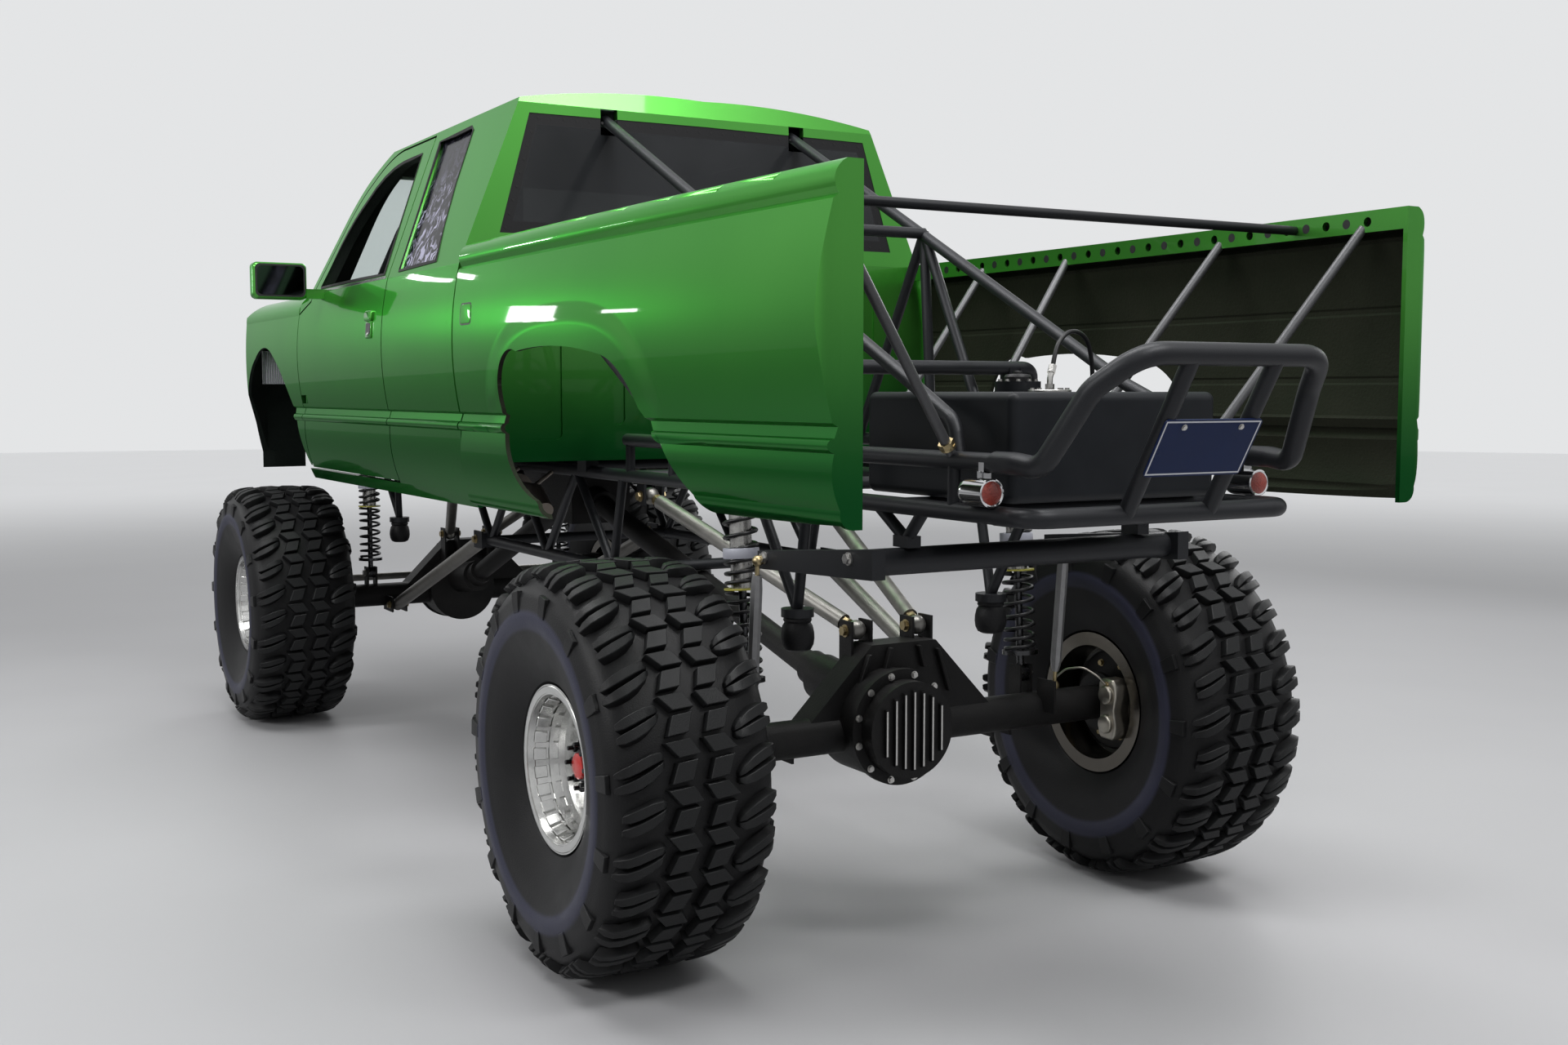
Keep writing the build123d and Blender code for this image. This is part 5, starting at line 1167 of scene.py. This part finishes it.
drop_silver = grained(
    "drop_link_silver", 0.6, 0.5, (60, 4), (0.22, 0.22, 0.225), (0.33, 0.33, 0.335), 0.36, 0.15
)
DROP_TOP = at(-115, 546.3, 1083)
DROP_FOOT = at(-75, 546.3, 628)
SHANK = ((0.0, 0.0), (0.0, 0.0065), (0.055, 0.0065), (0.055, 0.0))
BALL_R = 0.0158
BALL = [(-BALL_R * cos(pi * step / 10), BALL_R * sin(pi * step / 10)) for step in range(11)]
drop_shapes = []
eye_shapes = []
for side in (1, -1):
    foot = sided(DROP_FOOT, side)
    top = sided(DROP_TOP, side)
    way = (top - foot).normalized()
    reach = (top - foot).length
    barrel = (
        (0.045, 0.0), (0.045, 0.0100), (0.062, 0.0150), (0.082, 0.0175), (reach - 0.082, 0.0175),
        (reach - 0.062, 0.0160), (reach - 0.040, 0.0140), (reach - 0.040, 0.0),
    )
    drop_shapes.append(lathed(barrel, foot, way, 8))
    for end, outward in ((foot, way), (top, -way)):
        eye_shapes.append(lathed(SHANK, end, outward, 12))
        eye_shapes.append(lathed(BALL, end, (0, 1, 0), 18))
drops = mesh_of(joined(*drop_shapes), 35, drop_silver)
eyes = mesh_of(joined(*eye_shapes), 50, brass)
drop_piece = show("drop_links_turned", merged(drops, eyes), "chassis")
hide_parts("drop_links")

STOP_PROFILE = (
    (0.0, 0.0), (0.0, 0.040), (-0.010, 0.042), (-0.016, 0.038), (-0.026, 0.0445), (-0.045, 0.0485),
    (-0.062, 0.0495), (-0.080, 0.0470), (-0.094, 0.0400), (-0.100, 0.0280), (-0.100, 0.0),
)
stop_feet = [at(ahead, left, 899.7) for ahead in (0, 3923) for left in (350, -350)]
stop_shapes = [lathed(STOP_PROFILE, foot, (0, 0, 1)) for foot in stop_feet]
stops = show("bump_stops_moulded", mesh_of(joined(*stop_shapes), 30), "chassis", moulded)
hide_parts("bump_stops")

# columns: ends of each left-hand link
LINKS = (
    (at(60, 110, 835), at(1030, 330, 1192)),
    (at(110, 400, 500), at(1085, 405, 930)),
    (at(3863, 110, 835), at(3060, 344.7, 1222)),
    (at(3813, 400, 500), at(2515, 405, 930)),
)
# columns: station of each bed strut's foot on the upper rail, station of its top
STRUTS = ((-835, -960), (-330, -420), (180, 300), (700, 760))
joint_rows = []
nut_rows = []
for side in (1, -1):
    for start, end in LINKS:
        low = sided(start, side)
        high = sided(end, side)
        way = (high - low).normalized()
        for place, outward in ((low, way), (high, -way)):
            nut_rows.append((place + outward * 0.036, outward))
            for hand in (1, -1):
                joint_rows.append((place + Vector((0, hand * 0.0380, 0)), (0, hand, 0)))
    for ahead, top in STRUTS:
        foot = at(ahead, side * 405, 1386)
        way = (at(top, side * (886 - bed_bow(top)), 1990) - foot).normalized()
        nut_rows.append((foot + way * 0.040, way))
joint_bolts = bolts(joint_rows, 0.015, 0.014, brass)
jam_nuts = bolts(nut_rows, 0.0205, 0.016, brass, 6, 0.0195)
show("link_fastenings", merged(joint_bolts, jam_nuts), "chassis")

# Axles. Black cast housings with a finned cover whose fin edges are machined bright, a
# ring of bright bolts, cast stiffening ribs up the bridge, and zinc-plated calipers.
cast_black = Finish("cast_black", metallic=0.1, specular_ior_level=0.25)
cast = cast_black.noise(190.0, 4.0)
grime = cast_black.noise(9.0, 4.0)
cast_black.feed("Base Color", cast_black.mix(grime, (0.007, 0.007, 0.008), (0.019, 0.018, 0.017)))
cast_black.feed("Roughness", 0.42 + cast * 0.2)
cast_black.feed("Normal", cast_black.bump(cast, 0.0008))
wear(cast_black, "rear_axle front_axle knuckle_left knuckle_right drive_shafts gearbox engine")
zinc = grained("zinc_plating", 1, 0.5, (22, 5), (0.30, 0.27, 0.21), (0.60, 0.58, 0.53), 0.26, 0.25)
wear(zinc, "calipers_rear")


def box_shape(low, high):
    """A block between two opposite corners."""
    x0, y0, z0 = low
    x1, y1, z1 = high
    return ribbon([[(x0, y0, z), (x1, y0, z), (x1, y1, z), (x0, y1, z)] for z in (z0, z1)])


def bolt_circle(middle, radius, count, way, part=0.5):
    """Rows of bolts on a circle, all standing along one of the three axes."""
    axes = (Vector((1, 0, 0)), Vector((0, 1, 0)), Vector((0, 0, 1)))
    first, second = [axis for axis, along in zip(axes, way) if not along]
    turns = [2 * pi * (order + part) / count for order in range(count)]
    return [(middle + radius * (cos(a) * first + sin(a) * second), way) for a in turns]


# columns: left of the cover's middle, half height, in millimetres
COVER_RIBS = ((-96, 70), (-64, 98), (-32, 112), (0, 118), (32, 112), (64, 98), (96, 70))
COVER_BOLTS = 12
# columns: left, height of the foot and of the top, in millimetres
BRIDGE_RIBS = ((-165, 640, 775), (-70, 722, 790), (70, 725, 790), (175, 648, 775))
for name, station, toward in (("rear", 0, -1), ("front", 3923, 1)):
    middle = at(station, 60, 565)
    edges = []
    for left, reach in COVER_RIBS:
        low = middle + Vector((toward * 0.1815, left / 1000 - 0.0028, 0.004 - reach / 1000))
        high = middle + Vector((toward * 0.1830, left / 1000 + 0.0028, reach / 1000 - 0.004))
        edges.append(box_shape(low, high))
    rib_edges = mesh_of(joined(*edges), 30, silver)
    flange = middle + Vector((toward * 0.117, 0, 0))
    cover_bolts = bolts(bolt_circle(flange, 0.158, COVER_BOLTS, (toward, 0, 0)), 0.0085, 0.009, silver)
    ribs = []
    face = at(station, 0, 0).x + (-0.030 if toward < 0 else 0.070)
    for left, foot, top in BRIDGE_RIBS:
        low_y, low_z = left / 1000, foot / 1000 + DATUM_Z
        high_y, high_z = low_y * 0.72, top / 1000 + DATUM_Z
        outline = [(low_y - 0.006, low_z), (low_y + 0.006, low_z)]
        outline += [(high_y + 0.006, high_z), (high_y - 0.006, high_z)]
        ribs.append(ribbon([[(x, y, z) for y, z in outline] for x in (face, face + toward * 0.018)]))
    rib_mesh = mesh_of(joined(*ribs), 30, cast_black, 0.002)
    show("axle_dress_" + name, merged(rib_edges, cover_bolts, rib_mesh), "chassis")

# columns: ahead of and above the caliper's middle, in millimetres
CALIPER_OUTLINE = (
    (-28, 97), (22, 97), (34, 86), (36, 50), (28, 34), (28, -34), (36, -50), (34, -86), (22, -97),
    (-28, -97), (-42, -80), (-46, -44), (-38, 0), (-46, 44), (-42, 80),
)
# columns: along the axle, inset of the outline in millimetres
CALIPER_LEVELS = ((0.722, 4), (0.728, 0), (0.782, 0), (0.790, 3))
# columns: along the axle or height, radius
SHIELD = ((0.850, 0.050), (0.850, 0.158), (0.856, 0.164), (0.866, 0.164), (0.866, 0.050))
BOSS = ((0.0, 0.0), (0.0, 0.030), (0.012, 0.030), (0.016, 0.026), (0.017, 0.0))
# columns: ahead, inboard, up from the bolt at the caliper
BRAKE_PIPE = (
    (0.0, 0.010, 0.0), (0.010, 0.030, 0.024), (0.050, 0.060, 0.052), (0.105, 0.085, 0.040),
    (0.140, 0.110, 0.000), (0.158, 0.125, -0.030),
)
for side, wheel in ((1, "rear_left"), (-1, "rear_right")):
    low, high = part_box("tyre_" + wheel)
    hub = (low + high) / 2
    inward = (0, -side, 0)
    caliper_x = hub.x - 0.118
    points, faces = lathe(SHIELD, 64)
    shield = ([(x + hub.x, side * y, z + hub.z) for x, y, z in points], faces)
    casting = []
    for reach, inset in CALIPER_LEVELS:
        scale = (1 - inset / 60) / 1000
        casting.append(
            [(caliper_x + scale * ahead, side * reach, hub.z + scale * up) for ahead, up in CALIPER_OUTLINE]
        )
    boss_feet = [(caliper_x - 0.006, side * 0.724, hub.z + up) for up in (0.047, -0.047)]
    bosses = [lathed(BOSS, foot, inward, 24) for foot in boss_feet]
    bracket_low = (hub.x - 0.120, side * 0.778, hub.z - 0.066)
    bracket_high = (hub.x - 0.030, side * 0.792, hub.z + 0.066)
    banjo = Vector((caliper_x - 0.004, side * 0.726, hub.z + 0.082))
    pipe = [banjo + Vector((ahead, -side * inboard, up)) for ahead, inboard, up in BRAKE_PIPE]
    hub_bolts = bolt_circle(Vector((hub.x, side * 0.850, hub.z)), 0.125, 8, inward)
    brake = merged(
        mesh_of(shield, 30, cast_black),
        mesh_of(box_shape(bracket_low, bracket_high), 30, cast_black, 0.002),
        mesh_of(joined(ribbon(casting), *bosses), 30, zinc, 0.002),
        mesh_of(carried(eased(pipe, 0.05), 0.0034, 8), 60, zinc),
        bolts([(banjo, inward), *hub_bolts], 0.009, 0.010, brass),
    )
    show("brake_" + wheel, brake, "chassis")

# columns: ahead, left and up in millimetres, 1 where the bolt faces outwards
CHASSIS_BOLTS = (
    (-95, 848, 500, -1), (-95, 848, 580, -1), (-150, 848, 540, -1), (35, 527, 655, 1), (100, 527, 1563, 1),
    (3923, 527, 655, 1), (3923, 527, 1578, 1), (-125, 531, 1092, 1), (-560, 531, 1128, 1),
)
axle_rows = []
for side in (1, -1):
    for ahead, left, up, outward in CHASSIS_BOLTS:
        axle_rows.append((at(ahead, side * left, up), (0, side * outward, 0)))
show("chassis_bolts", bolts(axle_rows, 0.0135, 0.012, silver), "chassis")

# Fuel tank. A folded sheet tank in black, with a bolted ring round its filler, a bolted
# plate for its pick-up, and a hose that loops from the plate to the tank's back edge.
tank_black = grained("tank_black", 0, 0.2, (14, 4), (0.008, 0.009, 0.011), (0.016, 0.018, 0.021), 0.38, 0.15)
wear(tank_black, "fuel_tank")
UP = (0, 0, 1)
LID_MIDDLE = at(-640, 60, 1577)
LID_PROFILE = (
    (0.0, 0.0), (0.0, 0.036), (0.012, 0.036), (0.018, 0.032), (0.020, 0.012), (0.026, 0.011), (0.028, 0.0),
)
PICKUP = at(-770, 60, 1550)
PICKUP_PLATE = ((-0.002, 0.0), (-0.002, 0.055), (0.004, 0.055), (0.005, 0.054), (0.005, 0.0))
FOOT_NUT = ((0.0, 0.0), (0.0, 0.012), (0.016, 0.012), (0.016, 0.0))
HOSE_NUT = ((0.0, 0.0), (0.0, 0.011), (0.022, 0.011), (0.022, 0.0))
elbow_way = Vector((0.25, -0.45, 0.86)).normalized()
elbow_bend = PICKUP + Vector((0, 0, 0.034))
elbow = joined(
    lathed(FOOT_NUT, PICKUP + Vector((0, 0, 0.004)), UP, 6),
    carried([PICKUP + Vector((0, 0, 0.01)), elbow_bend, elbow_bend + elbow_way * 0.02], 0.0075),
    lathed(HOSE_NUT, elbow_bend + elbow_way * 0.016, elbow_way, 6),
)
tank_fittings = merged(
    bolts(bolt_circle(LID_MIDDLE, 0.048, 10, UP, 0), 0.0055, 0.006, silver),
    mesh_of(lathed(LID_PROFILE, LID_MIDDLE, UP), 30, satin_black),
    mesh_of(lathed(PICKUP_PLATE, PICKUP, UP), 30, silver),
    bolts(bolt_circle(PICKUP + Vector((0, 0, 0.005)), 0.046, 10, UP, 0), 0.005, 0.005, silver),
    mesh_of(elbow, 30, silver),
)
show("tank_fittings", tank_fittings, "chassis")

hose_rubber = grained(
    "hose_rubber", 0, 0.35, (300, 3), (0.006, 0.006, 0.007), (0.014, 0.014, 0.015), 0.35, 0.2
)
HOSE_ROUTE = (
    (-761, 44, 1612), (-757, 36, 1640), (-748, 15, 1678), (-738, -25, 1706), (-725, -75, 1706),
    (-710, -118, 1680), (-698, -140, 1630), (-692, -149, 1590), (-690, -150, 1562),
)
hose_curve = bpy.data.curves.new("tank_hose", "CURVE")
hose_curve.dimensions = "3D"
hose_curve.bevel_depth = 0.006
hose_curve.bevel_resolution = 4
hose_curve.use_fill_caps = True
hose_line = hose_curve.splines.new("NURBS")
hose_line.points.add(len(HOSE_ROUTE) - 1)
for spot, step in zip(hose_line.points, HOSE_ROUTE):
    spot.co = (*at(*step), 1.0)
hose_line.order_u = 3
hose_line.use_endpoint_u = True
hose_line.resolution_u = 8
hose = show("tank_hose", hose_curve, "chassis", hose_rubber)
tuple(at(*HOSE_ROUTE[0]))
HOSE_END = ((-0.004, 0.0), (-0.004, 0.013), (0.018, 0.013), (0.020, 0.011), (0.020, 0.0))
hose_fitting = mesh_of(lathed(HOSE_END, at(-690, -150, 1550), UP, 6), 30)
show("hose_fitting", hose_fitting, "chassis", silver)

# Tail lamps and plate. Chrome bullet lamps with red glass faces and wing nuts, and a blank
# dark blue plate with a thin white rim, held by two bolts.
chrome = grained("chrome", 1, 0.5, (40, 3), (0.66, 0.66, 0.67), (0.80, 0.80, 0.81), 0.06, 0.08)
wear(chrome, "tail_lamps")
red_glass = Finish("red_glass", coat_weight=0.8, coat_roughness=0.04)
facets = red_glass.node("ShaderNodeTexVoronoi", {"Vector": red_glass.place(), "Scale": 260.0}, "Distance")
red_glass.feed("Base Color", red_glass.mix(facets, (0.42, 0.055, 0.030), (0.20, 0.018, 0.012)))
red_glass.feed("Roughness", 0.25 + facets * 0.2)
red_glass.feed("Normal", red_glass.bump(facets, 0.001))
LENS = ((-0.001, 0.0), (-0.001, 0.0285), (0.002, 0.0285), (0.005, 0.020), (0.006, 0.0))
LENS_RIM = ((-0.004, 0.028), (-0.004, 0.0345), (0.002, 0.0345), (0.0035, 0.031), (0.002, 0.028))
lamp_meshes = []
for side in (1, -1):
    face = at(-1015, side * 430, 1316)
    wings = []
    for middle in (0.006, -0.006):
        low = face + Vector((0.032, middle - 0.003, 0.034))
        wings.append(box_shape(low, low + Vector((0.012, 0.006, 0.016))))
    lamp_meshes += [
        mesh_of(lathed(LENS, face, (-1, 0, 0)), 50, red_glass),
        mesh_of(lathed(LENS_RIM, face, (-1, 0, 0)), 30, chrome),
        mesh_of(joined(*wings), 30, chrome, 0.001),
    ]
show("tail_lamp_dress", merged(*lamp_meshes), "chassis")
PLATE_MIDDLE = at(-1251.4, 0, 1421.5)
PLATE_OUT = Vector((-0.8702, 0.0, -0.4927))
PLATE_UP = Vector((-0.4927, 0.0, 0.8702))
plate_blue = Finish("plate_blue", specular_ior_level=0.15)
from_x = plate_blue.axis("X") - PLATE_MIDDLE.x
from_z = plate_blue.axis("Z") - PLATE_MIDDLE.z
edge = (abs(plate_blue.axis("Y")) - 0.1445).most(abs(from_x * PLATE_UP.x + from_z * PLATE_UP.z) - 0.068)
white = plate_blue.band(edge, -0.001, 0.0) * (1 - plate_blue.band(edge, 0.003, 0.004))
fade = plate_blue.noise(12.0, 3.0)
blue = plate_blue.mix(fade, (0.005, 0.014, 0.060), (0.007, 0.018, 0.072))
plate_blue.feed("Base Color", plate_blue.mix(white, blue, (0.62, 0.63, 0.66)))
plate_blue.feed("Roughness", 0.24 + fade * 0.12)
wear(plate_blue, "plate_blank")
plate_rows = [
    (PLATE_MIDDLE + PLATE_UP * 0.056 + Vector((0, side * 0.089, 0)) + PLATE_OUT * 0.0015, tuple(PLATE_OUT))
    for side in (1, -1)
]
show("plate_bolts", bolts(plate_rows, 0.006, 0.004, silver, 12), "chassis")

# Exhaust. Mild steel pipes and mufflers under the bed, straw and brown where they have
# been hot and grey elsewhere.
pipe_steel = grained("pipe_steel", 1, 0.5, (6, 4), (0.24, 0.19, 0.14), (0.42, 0.40, 0.38), 0.34, 0.2)
wear(pipe_steel, "exhaust")

# Inside the cab. Black vinyl trim with a leather-bound steering wheel, and four dials with
# ticks and a hand each on the driver's side of the dash.
trim_black = Finish("cabin_trim")
leather = trim_black.noise(320.0, 4.0)
vinyl = trim_black.mix(trim_black.noise(5.0), (0.012, 0.012, 0.014), (0.028, 0.028, 0.030))
trim_black.feed("Base Color", vinyl)
trim_black.feed("Roughness", 0.5 + leather * 0.2)
trim_black.feed("Normal", trim_black.bump(leather, 0.0008))
wear(trim_black, "dashboard steering_wheel cab_floor")
DIAL_FACE_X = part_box("dashboard")[0].x
dial_white = Finish("dial_white", base_color=(0.7, 0.7, 0.68), roughness=0.4)
dial_shapes = []
hand_shapes = []
for left, radius in ((0.420, 0.044), (0.318, 0.044), (0.245, 0.024), (0.495, 0.024)):
    middle = Vector((DIAL_FACE_X, left, 1.806))
    bezel = (
        (-0.002, 0.0), (-0.002, radius), (0.008, radius), (0.009, radius - 0.004), (0.004, radius - 0.005),
        (0.004, 0.0),
    )
    dial_shapes.append(lathed(bezel, middle, (-1, 0, 0)))
    for step in range(9):
        a = radians(-30 + 30 * step)
        tick = middle + Vector((-0.0045, radius * 0.74 * cos(a), radius * 0.74 * sin(a)))
        half = Vector((0.001, 0.0014, 0.0014))
        hand_shapes.append(box_shape(tick - half, tick + half))
    pivot = middle + Vector((-0.0055, 0, 0))
    hand_shapes.append(carried([pivot, pivot + Vector((0, radius * 0.5, radius * 0.4))], 0.0012, 6))
dials = mesh_of(joined(*dial_shapes), 30, satin_black)
hands = mesh_of(joined(*hand_shapes), 30, dial_white)
show("dash_dials", merged(dials, hands), "chassis")

# Head lamps. Square glass lenses with upright flutes over bright reflectors, one at each
# side of the grille.
head_glass = Finish("head_glass", metallic=0.75, coat_weight=0.8, coat_roughness=0.02)
flutes = head_glass.node(
    "ShaderNodeTexWave", {"Vector": head_glass.place(), "Scale": 24.0}, "Fac", bands_direction="Y"
)
head_glass.feed("Base Color", head_glass.mix(flutes, (0.50, 0.53, 0.56), (0.78, 0.80, 0.82)))
head_glass.feed("Roughness", 0.10 + flutes * 0.08)
head_glass.feed("Normal", head_glass.bump(flutes, 0.002))
wear(head_glass, "head_lamps")

# Seats. Two bucket seats: foam under black vinyl with a welt round each pad, sewn channels
# across the middle and firmer side bolsters, on a black steel frame.
seat_vinyl = Finish("seat_vinyl", specular_ior_level=0.3)
hide = seat_vinyl.noise(420.0, 4.0)
polish = seat_vinyl.noise(6.0, 3.0)
seat_vinyl.feed("Base Color", seat_vinyl.mix(polish, (0.016, 0.016, 0.018), (0.036, 0.035, 0.036)))
seat_vinyl.feed("Roughness", 0.42 + hide * 0.15 + polish * 0.12)
seat_vinyl.feed("Normal", seat_vinyl.bump(hide, 0.0007))
BOLSTER_SEAM = 0.66
DRAWN_IN = 0.035


def bell(value, width):
    """1 at zero, falling off on both sides over a width."""
    return exp(-((value / width) ** 2))


def pad_mesh_of(middle, size, turn, channels, bolster):
    """A stuffed pad: crowned and closed, pulled in between its corners, with a welt."""
    built = bmesh.new()
    bmesh.ops.create_cube(built, size=2.0)
    bmesh.ops.subdivide_edges(built, edges=built.edges, cuts=27, use_grid_fill=True)
    place = Matrix.Translation(middle) @ Matrix.Rotation(radians(turn), 4, "Y")
    for spot in built.verts:
        x, y, z = spot.co / sum(abs(part) ** 5 for part in spot.co) ** 0.2
        welt = 0.97 + 0.03 * bell(z, 0.10)
        wide_x = x * welt * (1 - DRAWN_IN * (1 - y * y) * abs(x))
        wide_y = y * welt * (1 - DRAWN_IN * (1 - x * x) * abs(y))
        if z > 0:
            ends = 1 - abs(x) ** 6
            middle_part = max(0.0, 1 - (abs(y) / BOLSTER_SEAM) ** 6)
            sewn = sum(bell(x - channel, 0.045) for channel in channels)
            seam = bell(abs(y) - BOLSTER_SEAM, 0.04) if bolster else 0.0
            z *= 0.80 + 0.12 * (1 - x * x) * (1 - y * y)
            z += bolster * bell(abs(y) - 0.84, 0.15) * ends
            z -= (0.12 * sewn * middle_part + 0.10 * seam * ends) * (1 - x**8)
        spot.co = place @ Vector((wide_x * size[0] / 2, wide_y * size[1] / 2, z * size[2] / 2))
    mesh = bpy.data.meshes.new("pad")
    built.to_mesh(mesh)
    built.free()
    mesh.shade_smooth()
    return mesh


# columns: pad, middle (x, z), size (length, width, thickness), turn, channels, bolster
SEAT_PADS = (
    ("seat_cushion_", (0.725, 1.575), (0.480, 0.470, 0.150), -6, (-0.5, -0.17, 0.17, 0.5), 0.24),
    ("seat_back_", (0.492, 1.835), (0.540, 0.460, 0.135), 78, (-0.6, -0.3, 0.0, 0.3, 0.6), 0.26),
    ("head_rest_", (0.424, 2.132), (0.112, 0.250, 0.095), 78, (), 0.0),
)
frame_shapes = []
for side, left in (("left", 0.34), ("right", -0.34)):
    for name, (x, z), size, turn, channels, bolster in SEAT_PADS:
        pad_mesh = pad_mesh_of(Vector((x, left, z)), size, turn, channels, bolster)
        pad = show(name + side, pad_mesh, "chassis", seat_vinyl)
        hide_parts("seats")
    for hand in (1, -1):
        rail_y = left + hand * 0.185
        run = [Vector((0.93, rail_y, 1.505)), Vector((0.52, rail_y, 1.470)), Vector((0.400, rail_y, 2.030))]
        frame_shapes.append(carried(eased(run, 0.05), 0.012, 12))
        frame_shapes.append(box_shape((0.50, rail_y - 0.018, 1.350), (0.92, rail_y + 0.018, 1.374)))
        for foot_x in (0.56, 0.86):
            leg = [Vector((foot_x, rail_y, 1.36)), Vector((foot_x, rail_y, 1.49))]
            frame_shapes.append(carried(leg, 0.012, 12))
        stem_y = left + hand * 0.06
        stem = [Vector((0.440, stem_y, 2.03)), Vector((0.424, stem_y, 2.13))]
        frame_shapes.append(carried(stem, 0.006, 10))
seat_frames = show("seat_frames", mesh_of(joined(*frame_shapes), 40), "chassis", satin_black)
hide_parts("seats")
